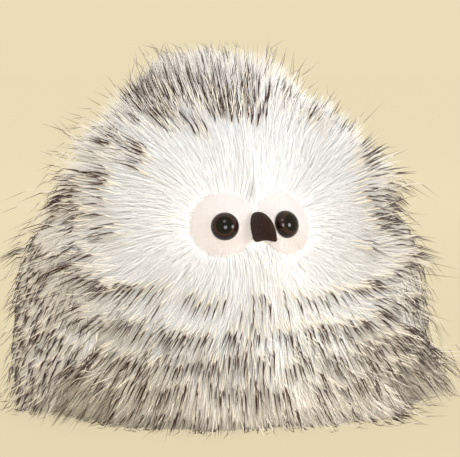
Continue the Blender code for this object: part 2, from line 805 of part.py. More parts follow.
def build_wings(barred_fur, lining_cloth):
    """Both wings: a lining against the flank and a fur piece over it, hung at the sewn edge."""
    lining = make_object("left_wing_lining", wing_layer(FIT_GAP, lining_depth, LINING_EDGE_POWER))
    inner = 2 * FIT_GAP + LINING_THICKNESS
    fur = make_object("left_wing_fur", wing_layer(inner, fur_depth, FUR_EDGE_POWER))
    finish(lining, lining_cloth)
    finish(fur, barred_fur)
    twins = [mirrored(lining, "right_wing_lining"), mirrored(fur, "right_wing_fur")]
    for side, pieces in ((LEFT, [lining, fur]), (RIGHT, twins)):
        at = wing_hinge()
        at.x *= side
        hinge = bpy.data.objects.new(SIDE_NAMES[side] + "_wing_hinge", None)
        bpy.context.collection.objects.link(hinge)
        hinge.location = at
        for piece in pieces:
            move_origin(piece, at)
            hang_from(piece, hinge)


def lining_depth(share):
    """The lining's thickness where the wing's thickness is a share of its greatest."""
    return LINING_THICKNESS * min(1, share / LINING_FULL_SHARE)


def fur_depth(share):
    """The fur piece's thickness where the wing's thickness is a share of its greatest."""
    return (WING_THICKNESS - LINING_THICKNESS) * share


def main():
    """Build the owl."""
    clear_scene()
    white_fur = make_material("white_fur", (0.88, 0.86, 0.82), 0.95)
    barred_fur = make_material("barred_fur", (0.66, 0.60, 0.52), 0.95)
    crest_fur = make_material("crest_fur", (0.36, 0.29, 0.24), 0.95)
    sole_cloth = make_material("sole_cloth", (0.62, 0.56, 0.48), 0.95)
    disc_cloth = make_material("disc_cloth", (0.87, 0.80, 0.74), 0.9)
    lining_cloth = make_material("lining_cloth", (0.80, 0.76, 0.70), 0.9)
    filling = make_material("filling", (0.93, 0.93, 0.92), 1.0)
    bag_cloth = make_material("bag_cloth", (0.86, 0.85, 0.82), 0.9)
    pellet_plastic = make_material("pellet_plastic", (0.85, 0.85, 0.80), 0.5)
    eye_plastic = make_material("eye_plastic", (0.05, 0.025, 0.015), 0.08)
    washer_plastic = make_material("washer_plastic", (0.85, 0.85, 0.83), 0.5)
    felt = make_material("beak_felt", (0.025, 0.012, 0.008), 0.95)
    thread_material = make_material("seam_thread", (0.78, 0.74, 0.66), 0.7)

    head_frame = bpy.data.objects.new("head_frame", None)
    bpy.context.collection.objects.link(head_frame)
    place(head_frame, face_frame())

    shell = build_shell()
    face_space = make_cutter("face_space", face_tube(FIT_GAP))
    build_face_panel(shell, white_fur)
    build_head_panels(shell, face_space, barred_fur, crest_fur)
    build_body_panels(shell, face_space, barred_fur)
    build_sole(sole_cloth)
    build_filling(filling, bag_cloth, pellet_plastic)
    build_closing_thread(thread_material)
    for side in (LEFT, RIGHT):
        build_eye(side, head_frame, eye_plastic, washer_plastic, disc_cloth)
    build_wings(barred_fur, lining_cloth)
    build_beak(head_frame, felt, filling)


main()
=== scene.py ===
"""Looks of the plush owl: its long pile, eyes, beak, linings and filling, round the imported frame."""
import logging
import math
from collections.abc import Callable
from dataclasses import dataclass, fields
from enum import Enum
from functools import cached_property
from typing import ClassVar

import bpy
import numpy as np
from mathutils import Matrix, Vector, kdtree


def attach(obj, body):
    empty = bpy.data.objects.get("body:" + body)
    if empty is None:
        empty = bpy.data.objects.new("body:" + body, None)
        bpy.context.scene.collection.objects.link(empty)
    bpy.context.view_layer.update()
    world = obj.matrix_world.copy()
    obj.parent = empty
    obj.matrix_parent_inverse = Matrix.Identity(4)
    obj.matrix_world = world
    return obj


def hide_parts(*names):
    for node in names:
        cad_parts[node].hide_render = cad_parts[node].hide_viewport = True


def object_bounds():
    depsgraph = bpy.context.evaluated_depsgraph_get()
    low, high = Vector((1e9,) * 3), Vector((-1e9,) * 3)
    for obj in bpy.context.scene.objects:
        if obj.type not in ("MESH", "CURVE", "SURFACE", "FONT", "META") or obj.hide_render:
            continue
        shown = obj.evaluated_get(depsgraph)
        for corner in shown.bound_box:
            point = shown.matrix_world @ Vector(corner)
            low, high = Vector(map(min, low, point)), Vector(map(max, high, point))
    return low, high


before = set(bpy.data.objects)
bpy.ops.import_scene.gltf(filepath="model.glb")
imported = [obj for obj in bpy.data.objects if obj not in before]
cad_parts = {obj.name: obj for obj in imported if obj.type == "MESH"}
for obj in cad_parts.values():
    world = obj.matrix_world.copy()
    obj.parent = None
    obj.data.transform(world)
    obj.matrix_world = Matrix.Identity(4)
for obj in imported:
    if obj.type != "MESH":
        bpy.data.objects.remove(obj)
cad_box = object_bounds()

log = logging.getLogger("owl")

Rows = np.ndarray
Draws = np.random.Generator
Piece = bpy.types.Object
Material = bpy.types.Material
Socket = bpy.types.NodeSocket
Span = tuple[float, float]
Shares = tuple[float, ...]

# Lengths are in metres and angles in radians, unless a name or docstring says otherwise.
PHOTO_WIDTH = 460
MOST_STRANDS = 19_800
TONE_COLUMNS = 32
PALE_COLUMNS = 12
FLOOR_CLEARANCE = 0.0006
TINY = 1e-9
MERGE = 1e-6
LOCK_SIZE = 9
PALE_TONES = (-1, -0.1)
TICK_TONES = (0.15, 1)
TICK_TONE_SPREAD = 0.1
TICK_BEND = 0.68
NEAR_ENDS = (0.001, 0.999)
WISP_TONE = (0.25, 0.6)
WISP_BEND = 0.6
WISP_SWELL = 1.5


def linear(red: float, green: float, blue: float) -> tuple[float, float, float, float]:
    """Turn a screen colour of 0 to 255 into the linear colour that a shader takes."""
    shares = [value / 255 for value in (red, green, blue)]
    return (*[s / 12.92 if s <= 0.04045 else ((s + 0.055) / 1.055) ** 2.4 for s in shares], 1.0)


def unit(vectors: Rows) -> Rows:
    """Scale rows of vectors to length one."""
    return vectors / np.maximum(np.linalg.norm(vectors, axis=1, keepdims=True), TINY)


def between(value: Rows, start: float | Rows, stop: float | Rows) -> Rows:
    """How far a value is on its way from start to stop, held between nought and one."""
    return np.clip((value - start) / (stop - start), 0, 1)


def flattened(way: Rows, normal: Rows) -> Rows:
    """Lay directions flat on the skin that the normals stand on."""
    return unit(way - np.sum(way * normal, axis=1, keepdims=True) * normal)


@dataclass(frozen=True)
class Noise:
    """Smooth noise: its size, the length in metres over which it changes, and which noise it is."""

    size: float
    length: float
    seed: int

    def at(self, points: Rows, more_seed: int = 0) -> Rows:
        """The noise at rows of places, between about minus and plus its size."""
        rng = np.random.default_rng(self.seed + more_seed)
        total = np.zeros(len(points))
        for _ in range(6):
            direction = rng.normal(size=3)
            direction *= math.tau / (self.length * 2) / np.linalg.norm(direction)
            total += np.sin(points @ direction * rng.uniform(0.7, 1.5) + rng.uniform(0, math.tau))
        return self.size * (total / 3)

    def ways(self, points: Rows) -> Rows:
        """The noise in each of the three directions."""
        return np.stack([self.at(points, axis) for axis in range(3)], axis=1)


def linked(name: str, data: bpy.types.ID) -> Piece:
    """Put new data into the scene as an object."""
    made = bpy.data.objects.new(name, data)
    bpy.context.collection.objects.link(made)
    return made


def dressed(piece: Piece, material: Material, body: str, node: str | None = None) -> Piece:
    """Give a piece its finish and its body, and hide the CAD node that it stands for, if any."""
    piece.data.materials.append(material)
    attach(piece, body)
    if node:
        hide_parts(node)
    return piece


class Zone(Enum):
    """The fur panels, by the name of the CAD node that each stands for."""

    FACE = "face_panel"
    CROWN = "crown_panel"
    LEFT_HEAD = "left_head_side"
    RIGHT_HEAD = "right_head_side"
    CHEST = "chest_panel"
    LEFT_FLANK = "left_flank_panel"
    RIGHT_FLANK = "right_flank_panel"
    LEFT_BACK = "left_back_panel"
    RIGHT_BACK = "right_back_panel"

    @property
    def slot(self) -> str:
        """The name of the panel's material slot."""
        return {"face_panel": "white_fur", "crown_panel": "crest_fur"}.get(self.value, "barred_fur")


class Side(Enum):
    """The owl's own left and right."""

    LEFT = 1
    RIGHT = -1

    @property
    def word(self) -> str:
        """The side's name, as node names use it."""
        return self.name.lower()


@dataclass(frozen=True)
class MoundForm:
    """The outer form over the fur. Turn 0 is the owl's left, and its front is three quarters round."""

    height: float = 0.148
    half_width: float = 0.078
    reach: float = 0.075
    height_shares: Shares = (0, 0.06, 0.15, 0.30, 0.45, 0.60, 0.72, 0.82, 0.91, 0.97, 1)
    side_shares: Shares = (0.92, 0.985, 1, 1, 0.985, 0.93, 0.84, 0.70, 0.505, 0.30, 0)
    front_shares: Shares = (0.92, 0.985, 1, 0.96, 0.84, 0.72, 0.635, 0.52, 0.37, 0.21, 0)
    back_shares: Shares = (0.92, 0.985, 1, 0.985, 0.945, 0.87, 0.78, 0.65, 0.47, 0.28, 0)

    @staticmethod
    def read(shares: Shares, climb: Rows, over_crown: bool = True) -> Rows:
        """Read a smooth curve through evenly numbered shares."""
        last = len(shares) - 1
        end = -shares[last - 1] if over_crown else shares[last - 1]
        padded = np.array([2 * shares[0] - shares[1], *shares, end], float)
        place = np.clip(climb, 0, 1) * last
        index = np.minimum(place.astype(int), last - 1)
        rest = place - index
        before, start, stop, after = (padded[index + step] for step in range(4))
        bend = 2 * before - 5 * start + 4 * stop - after
        twist = -before + 3 * start - 3 * stop + after
        return start + ((stop - before) * rest + bend * rest**2 + twist * rest**3) / 2

    def point(self, turn: Rows, climb: Rows) -> Rows:
        """Places on the form."""
        reach = np.where(
            np.sin(turn) < 0, self.read(self.front_shares, climb), self.read(self.back_shares, climb)
        )
        width = self.half_width * self.read(self.side_shares, climb)
        height = self.height * self.read(self.height_shares, climb, False)
        return np.stack([width * np.cos(turn), self.reach * reach * np.sin(turn), height], axis=1)

    def normal(self, turn: Rows, climb: Rows) -> Rows:
        """Outward directions on the form."""
        step, rise = math.radians(1), 0.004
        along = self.point(turn + step, climb) - self.point(turn - step, climb)
        up = self.point(turn, climb + rise) - self.point(turn, climb - rise)
        found = unit(np.cross(along, up))
        found[climb > 0.995] = (0, 0, 1)
        return found

    def climb_at(self, height: Rows) -> Rows:
        """The climb at which the form reaches a height."""
        table = np.linspace(0, 1, 2001)
        return np.interp(height, self.height * self.read(self.height_shares, table, False), table)

    def scatter(
        self, count: int, rng: Draws,
        weigh: Callable[[Rows, Rows], Rows] | None = None,
    ) -> tuple[Rows, Rows]:
        """The turn and climb of random places, spread evenly over the area or as they are weighed."""
        columns, rows = 240, 160
        turn, climb = np.meshgrid(
            (np.arange(columns) + 0.5) / columns * math.tau, (np.arange(rows) + 0.5) / rows
        )
        turn, climb = turn.ravel(), climb.ravel()
        step = 0.002
        along = self.point(turn + step, climb) - self.point(turn - step, climb)
        up = self.point(turn, climb + step) - self.point(turn, climb - step)
        area = np.linalg.norm(np.cross(along, up), axis=1)
        if weigh:
            area = area * weigh(turn, climb)
        cell = rng.choice(len(area), size=count, p=area / area.sum())
        turn = turn[cell] + (rng.random(count) - 0.5) / columns * math.tau
        return turn, climb[cell] + (rng.random(count) - 0.5) / rows


@dataclass(frozen=True)
class HeadForm:
    """The head's skin under the fur, with the places of the face on it."""

    centre: tuple[float, float, float] = (0.0, -0.015, 0.072)
    skin_radius: float = 0.038
    tilt: float = math.radians(18)
    face_half_width: float = 0.054
    face_half_height: float = 0.042
    disc_radius: float = 0.013
    disc_thickness: float = 0.0012
    disc_spread: float = math.radians(21.5)
    disc_rise: float = math.radians(2.4)
    eye_spread: float = math.radians(20)
    gap: float = 0.0003

    @property
    def turn(self) -> Matrix:
        """The turn from the face's own axes to the toy's."""
        return Matrix.Rotation(-self.tilt, 3, "X")

    def direction(self, spread: float, rise: float) -> Vector:
        """Direction out of the head, at a spread to the owl's left and a rise above the face's axis."""
        level = Vector((
            math.sin(spread) * math.cos(rise), -math.cos(spread) * math.cos(rise), math.sin(rise),
        ))
        return self.turn @ level

    def place(self, direction: Vector, distance: float) -> Vector:
        """A place at a distance from the head's centre."""
        return Vector(self.centre) + direction * distance

    def outward_frame(self, direction: Vector, distance: float) -> Matrix:
        """Place and turn whose Z axis points out of the head."""
        turn = direction.to_track_quat("Z", "Y").to_matrix().to_4x4()
        return Matrix.Translation(self.place(direction, distance)) @ turn

    def in_face(self, points: Rows) -> Rows:
        """Places in the face's own axes: to the owl's left, back into the head, and up."""
        return (points - np.array(self.centre)) @ np.array(self.turn)

    def disc_centre(self, side: Side) -> Rows:
        """The middle of an eye disc, on the skin."""
        direction = self.direction(side.value * self.disc_spread, self.disc_rise)
        return np.array(self.place(direction, self.skin_radius))


@dataclass(frozen=True)
class UnderfurForm:
    """Where the pile is rooted: a depth under the outer form, but never under the head's skin."""

    mound: MoundForm
    head: HeadForm
    depth: float = 0.0095
    skin_lift: float = 0.0002

    def point(self, turn: Rows, climb: Rows) -> Rows:
        """Places on the surface that the strands grow from."""
        inner = self.mound.point(turn, climb) - self.mound.normal(turn, climb) * self.depth
        out = inner - np.array(self.head.centre)
        radius = np.linalg.norm(out, axis=1, keepdims=True)
        grown = np.maximum(radius, self.head.skin_radius + self.skin_lift)
        return np.array(self.head.centre) + out / np.maximum(radius, TINY) * grown


class Workshop:
    """Short forms of the modelling steps that every piece uses."""

    @staticmethod
    def deselect() -> None:
        """Leave nothing selected."""
        bpy.ops.object.select_all(action="DESELECT")

    @staticmethod
    def added(name: str) -> Piece:
        """Name the object that the last operator added."""
        made = bpy.context.active_object
        made.name = name
        made.data.name = name
        return made

    @staticmethod
    def select(target: Piece) -> None:
        """Select one object alone."""
        Workshop.deselect()
        target.select_set(True)
        bpy.context.view_layer.objects.active = target

    @staticmethod
    def edit(target: Piece) -> None:
        """Open a mesh in edit mode with all of it selected."""
        Workshop.select(target)
        bpy.ops.object.mode_set(mode="EDIT")
        bpy.ops.mesh.select_all(action="SELECT")

    @staticmethod
    def close_edit() -> None:
        """Go back to object mode."""
        bpy.ops.object.mode_set(mode="OBJECT")

    @staticmethod
    def tidy(target: Piece, merge: float = MERGE) -> Piece:
        """Merge a mesh's doubles and turn its faces outward."""
        Workshop.edit(target)
        bpy.ops.mesh.remove_doubles(threshold=merge)
        bpy.ops.mesh.normals_make_consistent(inside=False)
        Workshop.close_edit()
        return target

    @staticmethod
    def apply_all(target: Piece) -> Piece:
        """Apply a piece's modifiers, first to last."""
        Workshop.select(target)
        for modifier in list(target.modifiers):
            bpy.ops.object.modifier_apply(modifier=modifier.name)
        return target

    @staticmethod
    def places(target: Piece) -> Rows:
        """A mesh's vertices as rows."""
        flat = np.empty(len(target.data.vertices) * 3)
        target.data.vertices.foreach_get("co", flat)
        return flat.reshape(-1, 3)

    @staticmethod
    def put(target: Piece, places: Rows) -> Piece:
        """Move a mesh's vertices to new places."""
        target.data.vertices.foreach_set("co", places.ravel())
        target.data.update()
        return target

    @staticmethod
    def moved(target: Piece, place: Matrix) -> Piece:
        """Put a finished mesh in its place, with its object left at the origin."""
        target.data.transform(place)
        target.data.update()
        return target

    @staticmethod
    def turned(name: str, profile: list[Span], segments: int) -> Piece:
        """Spin a profile of (radius, height) round Z into a closed piece.

        Args:
            name: The piece's name.
            profile: Points from one end of the axis to the other.
            segments: How many steps go once round.

        Returns:
            The piece.
        """
        Workshop.deselect()
        mesh = bpy.data.meshes.new(name)
        edges = [(index, index + 1) for index in range(len(profile) - 1)]
        mesh.from_pydata([(radius, 0, height) for radius, height in profile], edges, [])
        made = linked(name, mesh)
        Workshop.edit(made)
        bpy.ops.mesh.spin(steps=segments, angle=math.tau, center=(0, 0, 0), axis=(0, 0, 1))
        Workshop.close_edit()
        return Workshop.smooth(Workshop.tidy(made))

    @staticmethod
    def smooth(target: Piece, angle: float = math.radians(40)) -> Piece:
        """Shade a piece smooth between its real edges."""
        Workshop.select(target)
        bpy.ops.object.shade_smooth_by_angle(angle=angle)
        return target

    @staticmethod
    def lofted(name: str, rings: list[Rows]) -> Piece:
        """Join rings of as many points each into a closed skin with filled ends."""
        count = len(rings[0])
        places = np.concatenate(rings)
        faces = []
        for ring in range(len(rings) - 1):
            base = ring * count
            for spot in range(count):
                after = (spot + 1) % count
                faces.append((base + spot, base + after, base + count + after, base + count + spot))
        faces.append(tuple(range(count)))
        faces.append(tuple(range((len(rings) - 1) * count, len(rings) * count)))
        mesh = bpy.data.meshes.new(name)
        mesh.from_pydata([tuple(place) for place in places], [], faces)
        return Workshop.tidy(linked(name, mesh))


class Nodes:
    """A material's node tree, with short calls to add and join nodes."""

    def __init__(self, tree: bpy.types.NodeTree) -> None:
        """Work on one node tree."""
        self.tree = tree

    def add(self, kind: str, **settings: object) -> bpy.types.Node:
        """Add a node and set its properties."""
        made = self.tree.nodes.new(kind)
        for name, value in settings.items():
            setattr(made, name, value)
        return made

    def join(self, source: Socket, target: Socket) -> None:
        """Link two sockets."""
        self.tree.links.new(source, target)

    def ramp(
        self, value: Socket, low: float, high: float,
        to_low: float = 0.0, to_high: float = 1.0,
    ) -> Socket:
        """A smooth step of a value between two limits."""
        made = self.add("ShaderNodeMapRange", interpolation_type="SMOOTHSTEP")
        for name, number in (
            ("From Min", low), ("From Max", high), ("To Min", to_low), ("To Max", to_high),
        ):
            made.inputs[name].default_value = number
        self.join(value, made.inputs["Value"])
        return made.outputs["Result"]

    def blend(
        self, share: Socket, first: object, second: object,
    ) -> Socket:
        """Mix two colours, each a socket or a plain colour."""
        made = self.add("ShaderNodeMix", data_type="RGBA")
        self.join(share, made.inputs[0])
        for socket, value in ((made.inputs[6], first), (made.inputs[7], second)):
            if isinstance(value, Socket):
                self.join(value, socket)
            else:
                socket.default_value = value
        return made.outputs[2]

    def math(self, operation: str, first: object, second: object) -> Socket:
        """One sum on two values, each a socket or a number."""
        made = self.add("ShaderNodeMath", operation=operation)
        for socket, value in zip(made.inputs, (first, second)):
            if isinstance(value, Socket):
                self.join(value, socket)
            else:
                socket.default_value = value
        return made.outputs[0]

    def bump(self, height: Socket, depth: float, shader: bpy.types.Node) -> None:
        """Let a value stand out on a shader's surface."""
        made = self.add("ShaderNodeBump")
        made.inputs["Distance"].default_value = depth
        self.join(height, made.inputs["Height"])
        self.join(made.outputs["Normal"], shader.inputs["Normal"])

    def noise(self, vector: Socket, scale: float, detail: float = 4.0) -> Socket:
        """Noise over a place."""
        made = self.add("ShaderNodeTexNoise")
        made.inputs["Scale"].default_value = scale
        made.inputs["Detail"].default_value = detail
        self.join(vector, made.inputs["Vector"])
        return made.outputs["Fac"]


def blank_material(name: str, roughness: float) -> tuple[Material, Nodes, bpy.types.Node]:
    """A new Principled material.

    Args:
        name: Its name.
        roughness: Its roughness.

    Returns:
        The material, its nodes and its shader.
    """
    made = bpy.data.materials.new(name)
    made.use_nodes = True
    nodes = Nodes(made.node_tree)
    shader = made.node_tree.nodes["Principled BSDF"]
    shader.inputs["Roughness"].default_value = roughness
    return made, nodes, shader


@dataclass(frozen=True)
class StrandColour:
    """The colour along a strand, read from its map: across for the kind of hair, up for root to tip, with
    roots painted lighter and tips darker as painted light and shade.
    """

    # Roots are painted lighter than tips: painted light where shade falls deep in the pile, and painted shade
    # on the lit tips. The cream and the dark tips are the fur's own colour.
    white_root: Shares = linear(254, 254, 253)
    white_tip: Shares = linear(246, 245, 243)
    cream_root: Shares = linear(253, 250, 242)
    cream_tip: Shares = linear(242, 231, 213)
    dark_tip: Shares = linear(58, 32, 22)
    fade: float = 0.7
    dark_start: float = 0.74
    dark_reach: float = 0.42
    dark_blur: float = 0.1
    dark_onset: float = 0.18
    roughness: float = 0.62
    gloss: float = 0.2
    sheen: float = 0.2

    @cached_property
    def group(self) -> bpy.types.NodeTree:
        """The node group that works the colour out."""
        tree = bpy.data.node_groups.new("strand_colour", "ShaderNodeTree")
        tree.interface.new_socket("Map", in_out="INPUT", socket_type="NodeSocketVector")
        tree.interface.new_socket("Colour", in_out="OUTPUT", socket_type="NodeSocketColor")
        nodes = Nodes(tree)
        entry, leave = nodes.add("NodeGroupInput"), nodes.add("NodeGroupOutput")
        parts = nodes.add("ShaderNodeSeparateXYZ")
        nodes.join(entry.outputs["Map"], parts.inputs[0])
        across, along = parts.outputs["X"], parts.outputs["Y"]
        turnover = PALE_COLUMNS / TONE_COLUMNS
        cream = nodes.ramp(across, 0.0, turnover)
        dark = nodes.math("MAXIMUM", nodes.math("SUBTRACT", across, turnover), 0.0)
        dark = nodes.math("DIVIDE", dark, 1 - turnover)
        root = nodes.blend(cream, self.white_root, self.cream_root)
        tip = nodes.blend(cream, self.white_tip, self.cream_tip)
        pale = nodes.blend(nodes.ramp(along, 0.0, self.fade), root, tip)
        start = nodes.math("SUBTRACT", self.dark_start, nodes.math("MULTIPLY", dark, self.dark_reach))
        reach = nodes.math("DIVIDE", nodes.math("SUBTRACT", along, start), self.dark_blur)
        reach = nodes.math(
            "MULTIPLY", nodes.ramp(reach, 0.0, 1.0), nodes.ramp(dark, 0.0, self.dark_onset),
        )
        nodes.join(nodes.blend(reach, pale, self.dark_tip), leave.inputs["Colour"])
        return tree

    def material(self, name: str) -> Material:
        """The finish of a piece of pile."""
        made, nodes, shader = blank_material(name, self.roughness)
        place = nodes.add("ShaderNodeUVMap", uv_map="OFBake")
        colour = nodes.add("ShaderNodeGroup")
        colour.node_tree = self.group
        nodes.join(place.outputs["UV"], colour.inputs["Map"])
        nodes.join(colour.outputs["Colour"], shader.inputs["Base Color"])
        shader.inputs["Specular IOR Level"].default_value = self.gloss
        shader.inputs["Sheen Weight"].default_value = self.sheen
        return made


@dataclass
class Pile:
    """Strands with settled paths, one row for each: its three places, thickness, colour and facing."""

    root: Rows
    middle: Rows
    tip: Rows
    radius: Rows
    swell: Rows
    column: Rows
    bend: Rows
    normal: Rows

    def part(self, chosen: Rows) -> "Pile":
        """Some of the strands."""
        return Pile(*(getattr(self, item.name)[chosen] for item in fields(self)))


class Strands:
    """Hairs of pile, modelled once and copied into one mesh for each panel."""

    coat_share: float = 0.6
    belly: float = 1.75
    sides: int = 3
    side_step: float = 0.4
    map_margin: float = 0.02
    point_share: float = 0.001

    def __init__(self) -> None:
        """Model the one hair: a thin cone of three sides, cut across its middle so that it can bend."""
        Workshop.deselect()
        bpy.ops.mesh.primitive_cone_add(
            vertices=self.sides, radius1=1, radius2=0, depth=1, location=(0, 0, 0.5),
        )
        model = Workshop.added("one_hair")
        bpy.ops.object.transform_apply(location=True)
        Workshop.edit(model)
        bpy.ops.mesh.bisect(plane_co=(0, 0, 0.5), plane_no=(0, 0, 1))
        bpy.ops.transform.resize(value=(self.belly, self.belly, 1), center_override=(0, 0, 0.5))
        Workshop.close_edit()
        Workshop.tidy(model)
        self.places = Workshop.places(model)
        self.faces = [tuple(face.vertices) for face in model.data.polygons]
        bpy.data.objects.remove(model)
        radius = np.linalg.norm(self.places[:, :2], axis=1)
        side = np.round(np.arctan2(self.places[:, 1], self.places[:, 0]) / (math.tau / self.sides))
        self.across = np.where(radius > MERGE, side * self.side_step, 0.0)

    def build(self, name: str, pile: Pile) -> Piece:
        """Copy the hair along the paths of a pile into one mesh.

        Args:
            name: The piece's name.
            pile: The strands.

        Returns:
            The piece.
        """
        count, corners = len(pile.root), len(self.places)
        path = np.stack([pile.root, pile.middle, pile.tip])
        level = np.clip(np.round(self.places[:, 2] * 2).astype(int), 0, 2)
        lower, upper = unit(pile.middle - pile.root), unit(pile.tip - pile.middle)
        ahead = np.stack([lower, unit(lower + upper), upper])
        steep = np.abs(ahead[1][:, 2:]) > 0.9
        aside = unit(np.cross(ahead[1], np.where(steep, (1.0, 0, 0), (0, 0, 1.0))))
        places = np.empty((count, corners, 3), np.float32)
        facing = np.empty((count, corners, 3), np.float32)
        for corner in range(corners):
            step = level[corner]
            across = unit(np.cross(aside, ahead[step]))
            flat = np.cross(ahead[step], across)
            x, y = self.places[corner, :2]
            radius = pile.radius * pile.swell if step == 1 else pile.radius
            places[:, corner] = path[step] + (across * x + flat * y) * radius[:, None]
            own = unit(across * x + flat * y + ahead[step] * self.point_share)
            facing[:, corner] = unit(own * (1 - self.coat_share) + pile.normal * self.coat_share)
        places[:, :, 2] = np.maximum(places[:, :, 2], FLOOR_CLEARANCE)
        return self.mesh(name, places, facing, pile)

    def mesh(self, name: str, places: Rows, facing: Rows, pile: Pile) -> Piece:
        """Make the mesh of all the copies, with its normals and the map that its colour is read from."""
        count, corners = places.shape[:2]
        pattern = np.array([corner for face in self.faces for corner in face])
        totals = np.array([len(face) for face in self.faces])
        starts = np.concatenate([[0], np.cumsum(totals)[:-1]])
        steps = np.arange(count)[:, None]
        made = bpy.data.meshes.new(name)
        made.vertices.add(count * corners)
        made.vertices.foreach_set("co", places.ravel())
        made.loops.add(count * len(pattern))
        made.loops.foreach_set("vertex_index", (pattern + steps * corners).ravel().astype(np.int32))
        made.polygons.add(count * len(totals))
        made.polygons.foreach_set("loop_start", (starts + steps * len(pattern)).ravel().astype(np.int32))
        made.polygons.foreach_set("use_smooth", np.ones(count * len(totals), bool))
        chart = np.empty((count, len(pattern), 2), np.float32)
        chart[:, :, 0] = (pile.column[:, None] + 0.5 + self.across[pattern]) / TONE_COLUMNS
        height = self.places[pattern, 2][None, :]
        at_bend = (height > 0.25) & (height < 0.75)
        chart[:, :, 1] = self.map_margin + np.where(at_bend, pile.bend[:, None], height) * (
            1 - 2 * self.map_margin
        )
        made.uv_layers.new(name="OFBake").data.foreach_set("uv", chart.ravel())
        made.update(calc_edges=True)
        made.validate()
        made.normals_split_custom_set_from_vertices(facing.reshape(-1, 3))
        return linked(name, made)


@dataclass
class Coat:
    """A set of strands: where they start, how they lie, what colour they are and which lock they join."""

    root: Rows
    normal: Rows
    flow: Rows
    length: Rows
    lift: Rows
    droop: Rows
    tone: Rows
    lock: Rows
    guide: Rows
    bend: Rows
    swell: Rows
    first_rise: ClassVar[float] = math.radians(12)
    last_fall: ClassVar[float] = math.radians(22)
    loosest_pull: ClassVar[float] = 0.7
    bend_pull: ClassVar[float] = 0.8
    radius: ClassVar[float] = 0.00013
    radius_range: ClassVar[Span] = (0.8, 1.15)
    tip_room: ClassVar[float] = 0.0095
    middle_room: ClassVar[float] = 0.008

    def step(self, lift: Rows) -> Rows:
        """The direction of each strand where it stands up from the coat by an angle."""
        return self.flow * np.cos(lift)[:, None] + self.normal * np.sin(lift)[:, None]

    def paths(self, rng: Draws) -> tuple[Rows, Rows]:
        """Bend each strand and draw it into its lock.

        Args:
            rng: The seeded generator.

        Returns:
            Each strand's bend and its tip.
        """
        first = (self.length * self.bend)[:, None]
        rest = (self.length * (1 - self.bend))[:, None]
        down = np.array([0, 0, -1.0]) * self.droop[:, None]
        middle = self.root + self.step(self.lift + self.first_rise) * first
        tip = middle + unit(self.step(self.lift - self.last_fall) + down) * rest
        pull = (self.lock * rng.uniform(self.loosest_pull, 1.0, len(rest)))[:, None]
        tip = tip + (tip[self.guide] - tip) * pull
        middle = middle + (middle[self.guide] - middle) * pull * (self.bend_pull * self.bend[:, None])
        return middle, tip

    def grown(self, rng: Draws) -> Pile:
        """Settle the paths of all strands, within the room that the toy has, and their thickness."""
        middle, tip = self.paths(rng)
        tip = within_room(tip, self.tip_room, self.tone, rng)
        middle = within_room(middle, self.middle_room, self.tone, rng)
        radius = self.radius * rng.uniform(*self.radius_range, len(tip))
        column = tone_column(self.tone)
        return Pile(self.root, middle, tip, radius, self.swell, column, self.bend, self.normal)

    def settle(self, **rows: float) -> None:
        """Set measures to one value for all strands."""
        for name, value in rows.items():
            setattr(self, name, np.full(len(self.root), value))

    @staticmethod
    def nearest_guides(root: Rows, each: int, rng: Draws) -> Rows:
        """Share strands out between locks of about so many each."""
        chosen = rng.choice(len(root), size=len(root) // each, replace=False)
        tree = kdtree.KDTree(len(chosen))
        for index, strand in enumerate(chosen):
            tree.insert(root[strand], index)
        tree.balance()
        return np.array([chosen[tree.find(place)[1]] for place in root])

    @staticmethod
    def joined(coats: list["Coat"]) -> "Coat":
        """Several sets as one."""
        starts = np.cumsum([0] + [len(coat.root) for coat in coats])
        rows = {
            item.name: np.concatenate([getattr(coat, item.name) for coat in coats]) for item in fields(Coat)
        }
        rows["guide"] = np.concatenate([coat.guide + start for coat, start in zip(coats, starts)])
        return Coat(**rows)


def spaced(places: Rows, spacing: float) -> Rows:
    """Which places stay when none may lie nearer to an earlier one than the spacing."""
    cells, kept = {}, []
    for index, place in enumerate(places):
        cell = tuple((place // spacing).astype(int))
        near = (
            spot
            for x in (-1, 0, 1) for y in (-1, 0, 1) for z in (-1, 0, 1)
            for spot in cells.get((cell[0] + x, cell[1] + y, cell[2] + z), ())
        )
        if all(np.sum((places[spot] - place) ** 2) > spacing**2 for spot in near):
            cells.setdefault(cell, []).append(index)
            kept.append(index)
    return np.array(kept)


def within_room(
    places: Rows, margin: float, tone: Rows, rng: Draws,
) -> Rows:
    """Hold places on strands above the floor and within reach of the CAD box, the dark ones less so.

    Args:
        places: Rows of places.
        margin: How far past the box the farthest may lie, beside a small share of the box.
        tone: Each strand's tone.
        rng: The seeded generator, which keeps the limit from showing as a plane.

    Returns:
        The places, moved where they were too far out.
    """
    box_share, dark_tone, dark_least, pale_least, floor_spread = 0.03, 0.2, 0.6, 0.3, 0.0025
    low, high = (np.array(corner) for corner in cad_box)
    reach = rng.uniform(np.where(tone > dark_tone, dark_least, pale_least), 1)[:, None]
    room = (high - low) * box_share + margin * reach
    places = np.clip(places, low - room, high + room)
    places[:, 2] = np.maximum(places[:, 2], FLOOR_CLEARANCE + floor_spread * rng.random(len(places)))
    return places


def tone_column(tone: Rows) -> Rows:
    """The colour map's column for a tone: -1 is white, 0 is cream and 1 has the darkest tip."""
    pale = np.clip((tone + 1) * PALE_COLUMNS, 0, PALE_COLUMNS - 1)
    dark = PALE_COLUMNS + np.clip(tone, 0, 1) * (TONE_COLUMNS - PALE_COLUMNS - 1)
    return np.where(tone < 0, pale, dark).astype(int)


@dataclass(frozen=True)
class Clumps:
    """Dark clumps, which stand where smooth noise passes a level."""

    noise: Noise
    level: float
    chance: float

    def laid(self, chance: Rows, where: Rows, tip: Rows) -> Rows:
        """Put the clumps into the chances of a region."""
        return np.where(where & (self.noise.at(tip) > self.level), self.chance, chance)


